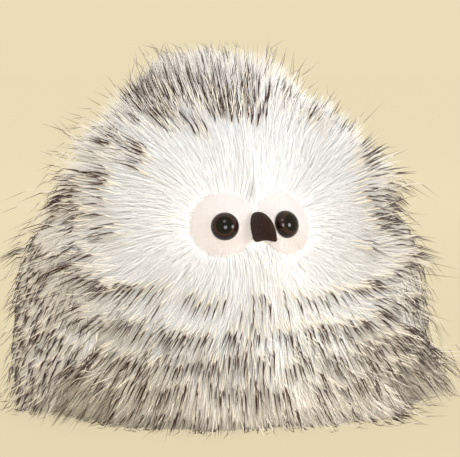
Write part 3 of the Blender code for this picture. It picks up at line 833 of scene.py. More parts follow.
@dataclass(frozen=True)
class TickRows:
    """Broken rows of ticks, which sag below the face and run level round the back."""

    start: float = 0.048
    pitch: float = 0.0112
    sag: float = 0.35
    face_reach: float = 0.027
    front: float = 0.02
    back_height: float = 0.046
    back_slope: float = 0.95
    sway: Noise = Noise(0.12, 0.024, 7)
    chin: float = -0.012
    top: float = 0.118
    half_width: float = 0.12
    low_half_width: float = 0.04
    first_phase: float = -0.3
    chance: float = 0.58
    breaks: Noise = Noise(0.5, 0.010, 17)
    stray: float = 0.012
    low_stray: float = 0.06
    low: Span = (0.034, 0.004)
    floor: Span = (0.002, 0.010)
    floor_least: float = 0.2
    middle: float = 0.004
    thin_rows: float = 1.5
    thin_first: tuple[float, float, float] = (0.3, 0.055, 0.85)
    thin_rest: tuple[float, float, float] = (0.42, 0.075, 1)

    def chances(self, tip: Rows, below: Rows) -> Rows:
        """How likely a tick is to end at a place.

        Args:
            tip: Where the hair ends.
            below: How far above the face's middle that is, so less than nought below it.

        Returns:
            The chance at each place.
        """
        x, y, z = tip.T
        around_face = np.sqrt((self.sag * x) ** 2 + self.face_reach**2 + below**2)
        behind = self.start + (self.back_height - z) * self.back_slope
        level = np.where(y > self.front, behind, around_face)
        phase = (level - self.start) / self.pitch + self.sway.at(tip)
        off_row = np.abs(phase - np.round(phase))
        rows = ((below < self.chin) & (phase > self.first_phase) | (y > self.front)) & (z < self.top)
        broken = self.chance + self.breaks.at(tip)
        low = between(z, *self.low)
        on_row = off_row < self.half_width + self.low_half_width * low
        chance = np.where(rows, np.where(on_row, broken, self.stray + self.low_stray * low), 0.0)
        chance = chance * np.maximum(between(z, *self.floor), self.floor_least)
        first, rest = (
            np.clip(least + np.abs(x - self.middle) / reach, 0, most)
            for least, reach, most in (self.thin_first, self.thin_rest)
        )
        return chance * np.where(y < self.front, np.where(phase < self.thin_rows, first, rest), 1)


@dataclass(frozen=True)
class Crest:
    """The dark crest over the brow, thickest on the owl's right."""

    brow: float = 0.131
    left_slope: float = 0.40
    right_slope: float = 0.22
    left_start: float = -0.007
    right_start: float = -0.02
    right_end: float = -0.050
    back: float = 0.026
    ragged: Noise = Noise(0.005, 0.016, 11)
    chance: float = 0.48
    lean: float = 13
    patches: Noise = Noise(0.36, 0.009, 27)
    left_fade: Span = (0.044, 0.018)
    right_fade: Span = (-0.052, -0.040)
    brow_fade: float = 0.009
    brow_least: float = 0.1
    top_fade: Span = (0.147, 0.153)
    top_loss: float = 0.75

    def chances(self, tip: Rows) -> tuple[Rows, Rows]:
        """Which places lie in the crest, and how likely a tick is to end there."""
        x, y, z = tip.T
        edge = self.ragged.at(tip)
        left, right = np.maximum(x - self.left_start, 0), np.maximum(self.right_start - x, 0)
        brow = self.brow + self.left_slope * left + self.right_slope * right
        inside = (z > brow + edge) & (x > self.right_end + edge) & (y < self.back)
        thick = self.chance - self.lean * x + self.patches.at(tip)
        thick = thick * between(x - edge, *self.left_fade) * between(x, *self.right_fade)
        thick = thick * np.maximum(between(z - brow - edge, 0, self.brow_fade), self.brow_least)
        return inside, thick * (1 - self.top_loss * between(z, *self.top_fade))


@dataclass(frozen=True)
class Markings:
    """Where dark ticks end on the head and body, and how dark they are."""

    face_middle: Rows
    rows: TickRows = TickRows()
    crest: Crest = Crest()
    tufts: Clumps = Clumps(Noise(1, 0.011, 15), level=0.3, chance=0.5)
    tuft_ring: Span = (0.062, 0.086)
    tuft_below: float = -0.02
    tuft_front: float = 0.02
    shoulders: Clumps = Clumps(Noise(1, 0.007, 19), level=0.25, chance=0.34)
    shoulder_out: float = 0.066
    shoulder_height: Span = (0.074, 0.104)
    shoulder_front: float = 0.03
    crest_tone: float = 0.6
    row_tone: float = 0.38
    tone_patches: Noise = Noise(0.1, 0.008, 13)
    least_tone: float = 0.2

    def at(self, tip: Rows) -> tuple[Rows, Rows]:
        """How likely a dark tick is to end at a place, and how dark it is.

        Args:
            tip: Where the hair ends.

        Returns:
            The chance and the tone.
        """
        x, y, z = tip.T
        below = z - self.face_middle[2]
        chance = self.rows.chances(tip, below)
        ring = np.linalg.norm(tip - self.face_middle, axis=1)
        near, far = self.tuft_ring
        tufts = (below > self.tuft_below) & (ring > near) & (ring < far) & (y < self.tuft_front)
        chance = self.tufts.laid(chance, tufts, tip)
        low, high = self.shoulder_height
        shoulder = (np.abs(x) > self.shoulder_out) & (z > low) & (z < high) & (y < self.shoulder_front)
        chance = self.shoulders.laid(chance, shoulder, tip)
        in_crest, thick = self.crest.chances(tip)
        tone = np.where(in_crest, self.crest_tone, self.row_tone) + self.tone_patches.at(tip)
        return np.where(in_crest, thick, chance), np.clip(tone, self.least_tone, 1.0)


@dataclass(frozen=True)
class PileShape:
    """How long the body's hair is and how steeply it stands, in metres and degrees.

    The outline was fitted in the photograph, so places are also taken across its picture.
    """

    half_width: float
    view_right: Span = (0.948, -0.317)
    view_front: Span = (-0.317, -0.948)
    face_length: float = 0.0112
    ruff_length: float = 0.0125
    body_length: float = 0.0225
    shoulder_length: float = 0.006
    peak_length: float = 0.001
    fringe_length: float = 0.006
    fringe_left_length: float = 0.005
    front_trim: float = 1.6
    slim_share: float = 0.15
    face_lift: float = 35
    ruff_lift: float = 24
    ruff_fall: float = 8
    body_lift: float = 32
    shoulder_fall: float = 7
    shoulder_lift: float = 18
    peak_lift: float = 25
    slim_fall: float = 16
    patches: Noise = Noise(7, 0.010, 33)
    fringe_lift: float = 18
    fringe_side_lift: float = 10
    under_lift: float = 16
    under_loss: float = 0.35
    edge_lift: float = 12
    edge_front_lift: float = 10
    lip_lift: float = 18
    lip_front_loss: float = 0.6
    edge_length: float = 0.3
    edge_front_length: float = 0.2
    left_gain: float = 1.6
    right_least: float = -0.2
    toward_reach: float = 0.03
    fringe_top: float = 0.034
    side_span: Span = (0.35, 0.80)
    shoulder_foot: Span = (0.082, 0.102)
    shoulder_top: Span = (0.138, 0.124)
    peak_span: Span = (0.128, 0.142)
    peak_left: Span = (0.3, 0.45)
    peak_left_loss: float = 0.75
    peak_right: Span = (-0.32, -0.47)
    peak_right_loss: float = 0.6
    slim_height: Span = (0.100, 0.114)
    slim_aside: Span = (0.2, 0.45)
    lip_start: float = 0.55

    def at(
        self, outer: Rows, root: Rows, face: Rows, near: Rows,
        cover: tuple[Rows, Rows, Rows],
    ) -> tuple[Rows, Rows]:
        """The hair's length and lift from place to place.

        Args:
            outer: Places on the outer form.
            root: Where the hair grows there.
            face: One on the face, nought off it.
            near: Nought at an eye disc's edge, one at the far side of the ruff round it.
            cover: How the places lie to the wings.

        Returns:
            The length and the lift in degrees.
        """
        height = outer[:, 2]
        aside = outer[:, :2] @ np.array(self.view_right) / self.half_width
        toward = between(outer[:, :2] @ np.array(self.view_front), 0, self.toward_reach) * (aside < 0)
        low = between(height, self.fringe_top, 0)
        side = between(np.abs(aside), *self.side_span)
        full = np.clip(aside * self.left_gain, self.right_least, 1)
        shoulder = between(height, *self.shoulder_foot) * between(height, *self.shoulder_top)
        peak = between(height, *self.peak_span) * (1 - self.peak_left_loss * between(aside, *self.peak_left))
        peak = peak * (1 - self.peak_right_loss * between(aside, *self.peak_right))
        slim = between(height, *self.slim_height) * between(aside, *self.slim_aside)
        under, edge, front = cover
        body = self.body_length + self.shoulder_length * shoulder * full + self.peak_length * peak
        length = face * (self.face_length + self.ruff_length * near) + (1 - face) * body
        length = length * (1 - self.slim_share * slim)
        fringe = self.fringe_length * (1 + side * (1 - self.front_trim * toward))
        length = length + low * (fringe + self.fringe_left_length * np.maximum(full, 0) * side)
        length = length * (1 + edge * (self.edge_length + self.edge_front_length * front))
        length = length * (1 - self.under_loss * under)
        rise = self.face_lift + self.ruff_lift * np.minimum(near, 0.5)
        rise = rise - self.ruff_fall * np.maximum(near - 0.5, 0)
        body = self.body_lift + (self.shoulder_lift * full - self.shoulder_fall) * shoulder
        body = body + self.peak_lift * peak - self.slim_fall * slim
        body = body + self.patches.at(root)
        lift = face * rise + (1 - face) * body + low * (self.fringe_lift + self.fringe_side_lift * side)
        lift = lift + edge * (self.edge_lift + self.edge_front_lift * front)
        lift = lift + self.lip_lift * between(edge, self.lip_start, 1) * (1 - self.lip_front_loss * front)
        return length, np.where(under > 0, self.under_lift, lift)


@dataclass(frozen=True)
class BodyPile:
    """The long pile of the head and body: a pale coat, and ticks of dark-tipped hair over it."""

    form: UnderfurForm
    wing: "Wing"
    strands: Strands
    seed: int = 2604
    count: int = 136_500
    lock: float = 0.5
    face_lock: float = 0.15
    face_fade: Span = (1.3, 0.6)
    ruff: float = 0.014
    brushed_round: Span = (0.05, 0.03)
    brushed_down: Span = (0.05, 0.12)
    fall: float = 0.8
    fall_top: float = 0.105
    brush_sway: Noise = Noise(0.2, 0.02, 40)
    tuft_noises: tuple[Noise, ...] = (Noise(0.13, 0.014, 21), Noise(0.12, 0.005, 22))
    face_calm: float = 0.7
    length_range: tuple[float, float, float] = (-0.25, 0.12, 0.1)
    lift_spread: float = 10
    face_lift_spread: float = 4
    droop: float = 0.12
    droop_top: float = 0.1
    floor_droop: float = 0.5
    floor_droop_top: float = 0.022
    back: float = 0.03
    back_share: float = 0.85
    crown: float = 0.11
    crown_more: float = 0.35
    face_more: float = 1.4
    under_wing_less: float = 0.5
    white_tone: float = -0.97
    cream_rise: float = 0.62
    cream_ring: Span = (0.043, 0.077)
    shade_share: float = 0.6
    shade_tone: Span = (0.06, 0.18)
    pale_patches: Noise = Noise(0.1, 0.015, 3)
    pale_spread: float = 0.05
    crown_shade: float = 2.2
    crown_shade_foot: float = 0.118
    low_shade: float = 0.6
    low_shade_span: Span = (0.036, 0.006)
    face_radius_share: float = 0.85
    tick_places: int = 100_000
    tick_strands: int = 2
    tick_spacing: float = 0.0018
    tick_radius: float = 0.00022
    tick_swell: float = 2.2
    turn_length: float = 0.07
    climb_length: float = 0.2
    tick_rise: float = 7
    tick_rise_spread: float = 3
    tick_crest: float = 0.115
    tick_lengths: Span = (0.92, 1.12)
    tick_length_range: Span = (0.88, 1.04)
    tick_locks: Span = (0.6, 0.92)
    wisps: int = 2_300
    wisp_lock_size: int = 3
    wisp_lock: float = 0.3
    wisp_stray: float = 0.3
    face_wisp_tone: float = -0.95
    wisp_length: Span = (1.0, 1.6)
    wisp_lift: Span = (0, 26)
    face_wisp_lift: float = 4
    neck_height: float = 0.062
    crown_seam: float = 0.112
    chest_seam: float = math.radians(52)
    flank_seam: float = math.radians(122)
    sole_height: float = 0.0043
    disc_clearance: float = 0.0002
    beak_half_width: float = 0.0042
    beak_half_height: float = 0.0075
    beak_drop: float = 0.001

    @cached_property
    def face_middle(self) -> Rows:
        """The middle of the face, on the head's skin."""
        head = self.form.head
        return np.array(head.place(head.direction(0, 0), head.skin_radius))

    @cached_property
    def markings(self) -> Markings:
        """Where the dark ticks end."""
        return Markings(self.face_middle)

    def oval(self, outer: Rows) -> tuple[Rows, Rows]:
        """How far out in the face's oval places lie, one at its edge, and whether they face forward."""
        head = self.form.head
        local = head.in_face(outer)
        out = (local[:, 0] / head.face_half_width) ** 2 + (local[:, 2] / head.face_half_height) ** 2
        return out, local[:, 1] < 0

    def zones(self, outer: Rows) -> Rows:
        """Which panel each place belongs to, as the zone's number."""
        out, forward = self.oval(outer)
        angle = np.abs(np.arctan2(outer[:, 0], -outer[:, 1]))
        left = outer[:, 0] > 0
        tests = [
            (out < 1) & forward,
            outer[:, 2] > self.crown_seam,
            (outer[:, 2] > self.neck_height) & left,
            outer[:, 2] > self.neck_height,
            angle < self.chest_seam,
            (angle < self.flank_seam) & left,
            angle < self.flank_seam,
            left,
        ]
        return np.select(tests, range(len(tests)), len(tests))

    def on_face(self, outer: Rows) -> Rows:
        """One on the face, falling smoothly to nought a little past its edge."""
        out, forward = self.oval(outer)
        return np.where(forward, between(out, *self.face_fade), 0.0)

    def under_beak(self, root: Rows) -> Rows:
        """Whether the beak is sewn on over each place."""
        local = self.form.head.in_face(root)
        across = np.abs(local[:, 0]) < self.beak_half_width
        return across & (np.abs(local[:, 2] + self.beak_drop) < self.beak_half_height) & (local[:, 1] < 0)

    def flow(self, root: Rows, normal: Rows, face: Rows) -> Rows:
        """Which way the hair is brushed: out from the eyes, and down the sides and back."""
        from_face = root - self.face_middle
        distance = np.linalg.norm(from_face, axis=1, keepdims=True)
        around = np.zeros_like(root)
        for side in Side:
            away = root - self.form.head.disc_centre(side)
            around += away / np.linalg.norm(away, axis=1, keepdims=True) ** 3
        near = between(distance, *self.brushed_round) * face[:, None]
        fall = between(distance, *self.brushed_down) * np.where(root[:, 2:] > self.fall_top, 0.0, self.fall)
        way = unit(around) * near + from_face / distance * (1 - near) + np.array([0, 0, -1.0]) * fall
        return flattened(way + self.brush_sway.ways(root), normal)

    def lay(
        self, turn: Rows, climb: Rows, rng: Draws, loose: float = 1.0,
    ) -> tuple[Coat, ...]:
        """Settle how strands lie that start at given places, and drop those that can't grow.

        Args:
            turn: The turn of each place round the body.
            climb: The climb of each place.
            rng: The seeded generator.
            loose: How far single strands may differ from their neighbours.

        Returns:
            The strands, which places are kept, the panel of each and its place on the outer form.
        """
        head, mound = self.form.head, self.form.mound
        root = self.form.point(turn, climb)
        away = np.min([np.linalg.norm(root - head.disc_centre(side), axis=1) for side in Side], axis=0)
        keep = (away > head.disc_radius + self.disc_clearance) & ~self.under_beak(root)
        keep = keep & (root[:, 2] > self.sole_height)
        root, away, turn, climb = (rows[keep] for rows in (root, away, turn, climb))
        outer, normal = mound.point(turn, climb), mound.normal(turn, climb)
        count, height, face = len(root), outer[:, 2], self.on_face(outer)
        near = between(away, head.disc_radius, head.disc_radius + self.ruff)
        cover = self.wing.cover(turn, climb)
        length, lift = PileShape(mound.half_width).at(outer, root, face, near, cover)
        tuft = sum(noise.at(root) for noise in self.tuft_noises) * (1 - self.face_calm * face)
        shortest, longest, off_face = self.length_range
        varied = rng.uniform(shortest, longest + off_face * (1 - face), count)
        length = length * (1 + tuft) * (1 + loose * varied)
        skin = unit(root - np.array(head.centre))
        flat = (self.face_calm * face)[:, None]
        normal = unit(normal * (1 - flat) + skin * flat)
        spread = self.lift_spread * (1 - face) + self.face_lift_spread * face
        coat = Coat(
            root=root, normal=normal, flow=self.flow(root, normal, face), length=length,
            lift=np.radians(lift + loose * rng.normal(0, 1, count) * spread),
            droop=np.where(height > self.droop_top, 0.0, self.droop)
            + self.floor_droop * between(height, self.floor_droop_top, 0),
            tone=np.zeros(count), lock=self.lock * (1 - face) + self.face_lock * face,
            guide=np.arange(count), bend=np.full(count, 0.5), swell=np.ones(count),
        )
        return coat, keep, self.zones(outer), outer

    def closeness(self, turn: Rows, climb: Rows) -> Rows:
        """How closely hair grows at each place: most on the face, least under the wings."""
        outer = self.form.mound.point(turn, climb)
        under = self.wing.cover(turn, climb)[0]
        share = np.where(outer[:, 1] > self.back, self.back_share, 1.0)
        share = share + self.crown_more * (outer[:, 2] > self.crown)
        return (share + self.face_more * self.on_face(outer)) * (1 - self.under_wing_less * under)

    def pale_coat(self, rng: Draws) -> tuple[Coat, Rows]:
        """The pale hair that covers the whole toy."""
        places = self.form.mound.scatter(self.count, rng, self.closeness)
        coat, _, zone, outer = self.lay(*places, rng)
        ring = np.linalg.norm(outer - self.face_middle, axis=1)
        tone = self.white_tone + self.cream_rise * between(ring, *self.cream_ring)
        tone = tone + self.pale_patches.at(outer) + rng.normal(0, self.pale_spread, len(ring))
        tip = coat.paths(rng)[1]
        height = tip[:, 2]
        chance = self.markings.at(tip)[0] * np.where(height > self.crown_shade_foot, self.crown_shade, 1.0)
        chance = chance + self.low_shade * between(height, *self.low_shade_span)
        shaded = rng.random(len(ring)) < self.shade_share * chance
        coat.tone = np.where(shaded, rng.uniform(*self.shade_tone, len(ring)), np.clip(tone, *PALE_TONES))
        coat.guide = Coat.nearest_guides(coat.root, LOCK_SIZE, rng)
        return coat, zone

    def ticks(self, rng: Draws) -> tuple[Coat, Rows]:
        """Small locks with dark tips, in rows round the face, in a ring of tufts and in the crest."""
        turn, climb = self.form.mound.scatter(self.tick_places, rng)
        coat, keep, _, _ = self.lay(turn, climb, rng, 0.0)
        tip = coat.paths(rng)[1]
        chance, tone = self.markings.at(tip)
        chosen = np.flatnonzero(rng.random(len(tip)) < chance)
        chosen = chosen[spaced(tip[chosen], self.tick_spacing)]
        turn, climb = turn[keep][chosen], climb[keep][chosen]
        spread = rng.normal(0, self.tick_radius, (len(chosen), self.tick_strands, 2))
        spread[:, 0] = 0
        many_turns = (turn[:, None] + spread[:, :, 0] / self.turn_length).ravel()
        many_climbs = np.clip(climb[:, None] + spread[:, :, 1] / self.climb_length, *NEAR_ENDS).ravel()
        many, kept, zone, outer = self.lay(many_turns, many_climbs, rng, 0.0)
        group = np.repeat(np.arange(len(chosen)), self.tick_strands)[kept]
        first = np.searchsorted(group, group)
        crest = outer[:, 2] > self.tick_crest
        many.settle(bend=TICK_BEND, swell=self.tick_swell)
        many.guide = first
        spread = rng.normal(0, TICK_TONE_SPREAD, len(group))
        many.tone = np.clip(tone[chosen][group] + spread, *TICK_TONES)
        many.length = many.length[first] * np.where(crest, *self.tick_lengths)
        many.length = many.length * rng.uniform(*self.tick_length_range, len(group))
        rise = self.tick_rise + rng.normal(0, self.tick_rise_spread, len(group))
        many.lift = many.lift[first] + np.radians(rise)
        many.lock = np.where(crest, *self.tick_locks)
        return many, zone

    def loose_wisps(self, rng: Draws) -> tuple[Coat, Rows]:
        """Single long hairs with dark tips, which stand out past the rest."""
        turn, climb = self.form.mound.scatter(self.wisps, rng)
        coat, _, zone, _ = self.lay(turn, climb, rng)
        count, away = len(coat.root), zone > 0
        coat.length = coat.length * np.where(away, rng.uniform(*self.wisp_length, count), 1.0)
        risen = np.where(away, rng.uniform(*self.wisp_lift, count), self.face_wisp_lift)
        coat.lift = coat.lift + np.radians(risen)
        aside = rng.normal(0, self.wisp_stray, (count, 1))
        coat.flow = unit(coat.flow + np.cross(coat.normal, coat.flow) * aside)
        coat.tone = np.where(away, rng.uniform(*WISP_TONE, count), self.face_wisp_tone)
        coat.guide = Coat.nearest_guides(coat.root, self.wisp_lock_size, rng)
        coat.settle(lock=self.wisp_lock, bend=WISP_BEND, swell=WISP_SWELL)
        return coat, zone

    def build(self, finish: StrandColour) -> None:
        """Make the pile of each panel, in as many pieces as its strands need."""
        rng = np.random.default_rng(self.seed)
        parts = [self.pale_coat(rng), self.ticks(rng), self.loose_wisps(rng)]
        coat = Coat.joined([part[0] for part in parts])
        zone = np.concatenate([part[1] for part in parts])
        log.info("pale, ticks, wisps: %s strands", [len(part[1]) for part in parts])
        pile = coat.grown(rng)
        pile.radius[(coat.tone < 0) & (zone == 0)] *= self.face_radius_share
        for number, panel in enumerate(Zone):
            rows = np.flatnonzero(zone == number)
            shares = np.array_split(rows, max(1, math.ceil(len(rows) / MOST_STRANDS)))
            for part, chosen in enumerate(shares):
                name = panel.value + "_pile" + (f"_{part + 1}" if len(shares) > 1 else "")
                piece = self.strands.build(name, pile.part(chosen))
                node = panel.value if part == 0 else None
                dressed(piece, finish.material(name), "body", node)
                log.info("%s: %d strands", name, len(chosen))


@dataclass
class StuffedBody:
    """The backing and packed root ends of the pile, round the stuffing, and the sole."""

    form: UnderfurForm
    sole_top: float = 0.004
    gap: float = 0.0003
    base_share: float = 0.2

    def build(self) -> Piece:
        """Shape a ball into the toy's body under its pile."""
        Workshop.deselect()
        bpy.ops.mesh.primitive_uv_sphere_add(segments=128, ring_count=96, radius=1)
        made = Workshop.added("underfur")
        places = Workshop.places(made)
        turn = np.arctan2(places[:, 1], places[:, 0])
        level = np.arcsin(np.clip(places[:, 2], -1, 1)) / math.pi + 0.5
        base = level < self.base_share
        climb = np.clip((level - self.base_share) / (1 - self.base_share), 0, 1)
        at = self.form.point(turn, climb)
        at[:, 2] = np.maximum(at[:, 2], self.sole_top + self.gap)
        shrink = np.where(base, level / self.base_share, 1.0)
        at[:, :2] *= shrink[:, None]
        at[base, 2] = self.sole_top + self.gap
        Workshop.smooth(Workshop.tidy(Workshop.put(made, at)))
        dressed(made, self.finish(linear(247, 244, 238), linear(254, 253, 251)), "body")
        return made

    @staticmethod
    def finish(shaded_hollow: Shares, ridge: Shares) -> Material:
        """Matted root ends, with painted shade in the hollows of their bump, and patches of tone that differ
        at random.
        """
        speck_scale, patch_scale, speck_share, patch_share, depth = 900, 60, 0.7, 0.3, 0.0008
        made, nodes, shader = blank_material("underfur", roughness=0.9)
        place = nodes.add("ShaderNodeTexCoord").outputs["Object"]
        speck, patch = nodes.noise(place, speck_scale), nodes.noise(place, patch_scale)
        share = nodes.math(
            "ADD", nodes.math("MULTIPLY", speck, speck_share), nodes.math("MULTIPLY", patch, patch_share),
        )
        # Painted shade: the colour follows the bump's speck noise and is darker in its hollows.
        colour = nodes.blend(nodes.ramp(share, low=0.3, high=0.7), shaded_hollow, ridge)
        nodes.join(colour, shader.inputs["Base Color"])
        nodes.bump(speck, depth, shader)
        return made


@dataclass
class Sole:
    """The flat base, in short plush with a rolled edge."""

    mound: MoundForm
    thickness: float = 0.004
    edge: float = 0.0012

    def build(self) -> Piece:
        """Shape a plate to the toy's outline and roll its edge."""
        Workshop.deselect()
        bpy.ops.mesh.primitive_cylinder_add(
            vertices=128, radius=1, depth=self.thickness, location=(0, 0, self.thickness / 2),
        )
        made = Workshop.added("sole")
        bpy.ops.object.transform_apply(location=True)
        places = Workshop.places(made)
        turn = np.arctan2(places[:, 1], places[:, 0])
        outline = self.mound.point(turn, np.zeros(len(turn)))
        places[:, :2] = outline[:, :2] - np.stack([np.cos(turn), np.sin(turn)], axis=1) * self.edge
        Workshop.put(made, places)
        bevel = made.modifiers.new("rolled_edge", "BEVEL")
        bevel.width = self.edge
        bevel.segments = 4
        Workshop.smooth(Workshop.tidy(Workshop.apply_all(made)))
        cloth = ClothFinish("sole", linear(232, 224, 208), linear(208, 198, 180), 1400)
        return dressed(made, cloth.material(), "body", "sole_panel")


@dataclass(frozen=True)
class ClothFinish:
    """Short nap or felt: two tones of fibre with a fine bump."""

    name: str
    light: Shares
    dark: Shares
    scale: float
    roughness: float = 0.92
    depth: float = 0.0003
    sheen: float = 0.3
    gloss: float = 0.2
    contrast: Span = (0.32, 0.68)

    def material(self) -> Material:
        """The finish as a material."""
        made, nodes, shader = blank_material(self.name, self.roughness)
        place = nodes.add("ShaderNodeTexCoord").outputs["Object"]
        fibre = nodes.noise(place, self.scale, 6)
        colour = nodes.blend(nodes.ramp(fibre, *self.contrast), self.dark, self.light)
        nodes.join(colour, shader.inputs["Base Color"])
        nodes.bump(fibre, self.depth, shader)
        shader.inputs["Specular IOR Level"].default_value = self.gloss
        shader.inputs["Sheen Weight"].default_value = self.sheen
        return made


@dataclass
class SafetyEye:
    """A round plastic eye: a dome, and the ridged shank behind it."""

    head: HeadForm
    radius: float = 0.006
    dome_height: float = 0.0045
    shank_radius: float = 0.002
    shank_tip_radius: float = 0.0015
    shank_length: float = 0.0092
    ridge: float = 0.0003
    ridges: int = 3
    dome_steps: int = 24
    pupil_share: float = 0.62
    pupil_blur: float = 0.0002
    gloss: float = 0.12
    coat: float = 0.35
    roughness: float = 0.06

    def build(self, side: Side) -> Piece:
        """Turn the eye and put it on its disc."""
        profile = [(0.0, self.dome_height)]
        for step in range(1, self.dome_steps + 1):
            angle = math.pi / 2 * (1 - step / self.dome_steps)
            profile.append((self.radius * math.cos(angle), self.dome_height * math.sin(angle)))
        profile.append((self.shank_radius, 0.0))
        pitch = self.shank_length / (2 * self.ridges + 1)
        for ridge in range(self.ridges):
            start = -pitch * (2 * ridge + 1)
            profile.append((self.shank_radius, start))
            profile.append((self.shank_radius + self.ridge, start - pitch / 2))
            profile.append((self.shank_radius, start - pitch))
        profile.append((self.shank_tip_radius, -self.shank_length))
        profile.append((0.0, -self.shank_length))
        made = Workshop.turned(side.word + "_safety_eye", profile, 64)
        direction = self.head.direction(side.value * self.head.eye_spread, 0)
        seat = self.head.skin_radius + self.head.disc_thickness + 2 * self.head.gap
        place = self.head.outward_frame(direction, seat)
        Workshop.moved(made, place)
        return dressed(made, self.finish(side, place), "body", side.word + "_eye")

    def finish(self, side: Side, place: Matrix) -> Material:
        """Polished plastic: a black pupil in a dark brown ring."""
        made, nodes, shader = blank_material(side.word + "_safety_eye", self.roughness)
        back = place.inverted()
        spot = nodes.add("ShaderNodeMapping", vector_type="POINT")
        spot.inputs["Location"].default_value = back.to_translation()
        spot.inputs["Rotation"].default_value = back.to_euler()
        nodes.join(nodes.add("ShaderNodeTexCoord").outputs["Object"], spot.inputs["Vector"])
        flat = nodes.add("ShaderNodeVectorMath", operation="MULTIPLY")
        flat.inputs[1].default_value = (1, 1, 0)
        nodes.join(spot.outputs[0], flat.inputs[0])
        size = nodes.add("ShaderNodeVectorMath", operation="LENGTH")
        nodes.join(flat.outputs[0], size.inputs[0])
        radius = size.outputs["Value"]
        pupil = self.radius * self.pupil_share
        ring = nodes.blend(nodes.ramp(radius, pupil, self.radius), linear(50, 31, 26), linear(24, 14, 11))
        edge = nodes.ramp(radius, pupil - self.pupil_blur, pupil + self.pupil_blur)
        nodes.join(nodes.blend(edge, linear(3, 3, 3), ring), shader.inputs["Base Color"])
        shader.inputs["Specular IOR Level"].default_value = self.gloss
        shader.inputs["Coat Weight"].default_value = self.coat
        return made


@dataclass
class EyeDisc:
    """The pale disc of short nap that an eye sits on."""

    head: HeadForm
    strands: Strands
    nap: float = 0.0016
    nap_radius: float = 0.00009
    nap_range: Span = (0.7, 1.15)
    nap_lift: float = 34
    nap_lift_spread: float = 7
    nap_tone: float = -0.93
    nap_tone_spread: float = 0.1
    brush_spread: float = 0.06
    bare_radius: float = 0.0062
    edge_share: float = 0.99
    count: int = 5200
    seed: int = 31

    @property
    def seat(self) -> float:
        """How far the disc's back lies from the head's centre."""
        return self.head.skin_radius + self.head.gap

    def direction(self, side: Side) -> Vector:
        """Where the disc's middle lies on the head."""
        return self.head.direction(side.value * self.head.disc_spread, self.head.disc_rise)

    def build(self, side: Side, finish: StrandColour) -> None:
        """Turn the disc, lay it on the head and cover it with nap."""
        top = self.seat + self.head.disc_thickness
        angles = np.linspace(0, math.asin(self.head.disc_radius / self.seat), 14)
        profile = [(top * math.sin(angle), top * math.cos(angle)) for angle in angles]
        profile += [(self.seat * math.sin(angle), self.seat * math.cos(angle)) for angle in angles[::-1]]
        name = side.word + "_disc"
        made = Workshop.turned(name, profile, 72)
        Workshop.moved(made, self.head.outward_frame(self.direction(side), 0))
        cloth = ClothFinish(name, linear(241, 233, 230), linear(238, 229, 224), 1600)
        dressed(made, cloth.material(), "body", side.word + "_eye_disc")
        piece = self.strands.build(name + "_nap", self.pile(side))
        dressed(piece, finish.material(piece.name), "body")

    def pile(self, side: Side) -> Pile:
        """Short nap all over the disc, brushed outward from the eye."""
        rng = np.random.default_rng(self.seed + side.value)
        top = self.seat + self.head.disc_thickness
        edge = math.asin(self.head.disc_radius / self.seat)
        angle = edge * np.sqrt(rng.random(self.count)) * self.edge_share
        around = rng.random(self.count) * math.tau
        across = np.sin(angle)
        local = np.stack([across * np.cos(around), across * np.sin(around), np.cos(angle)], axis=1)
        turn = np.array(self.head.outward_frame(self.direction(side), 0).to_3x3())
        normal = local @ turn.T
        root = np.array(self.head.centre) + normal * top
        eye = np.array(self.head.direction(side.value * self.head.eye_spread, 0))
        flow = flattened(normal - eye + self.brush_spread * rng.normal(size=normal.shape), normal)
        keep = np.linalg.norm(normal - eye, axis=1) * top > self.bare_radius
        root, normal, flow = root[keep], normal[keep], flow[keep]
        count = len(root)
        length = self.nap * rng.uniform(*self.nap_range, count)[:, None]
        lift = np.radians(rng.normal(self.nap_lift, self.nap_lift_spread, count))[:, None]
        middle = root + (flow * np.cos(lift) + normal * np.sin(lift)) * length / 2
        tip = middle + (flow * np.cos(lift / 3) + normal * np.sin(lift / 3)) * length / 2
        column = tone_column(self.nap_tone + self.nap_tone_spread * rng.random(count))
        one = np.ones(count)
        return Pile(root, middle, tip, self.nap_radius * one, one, column, one * 0.5, normal)


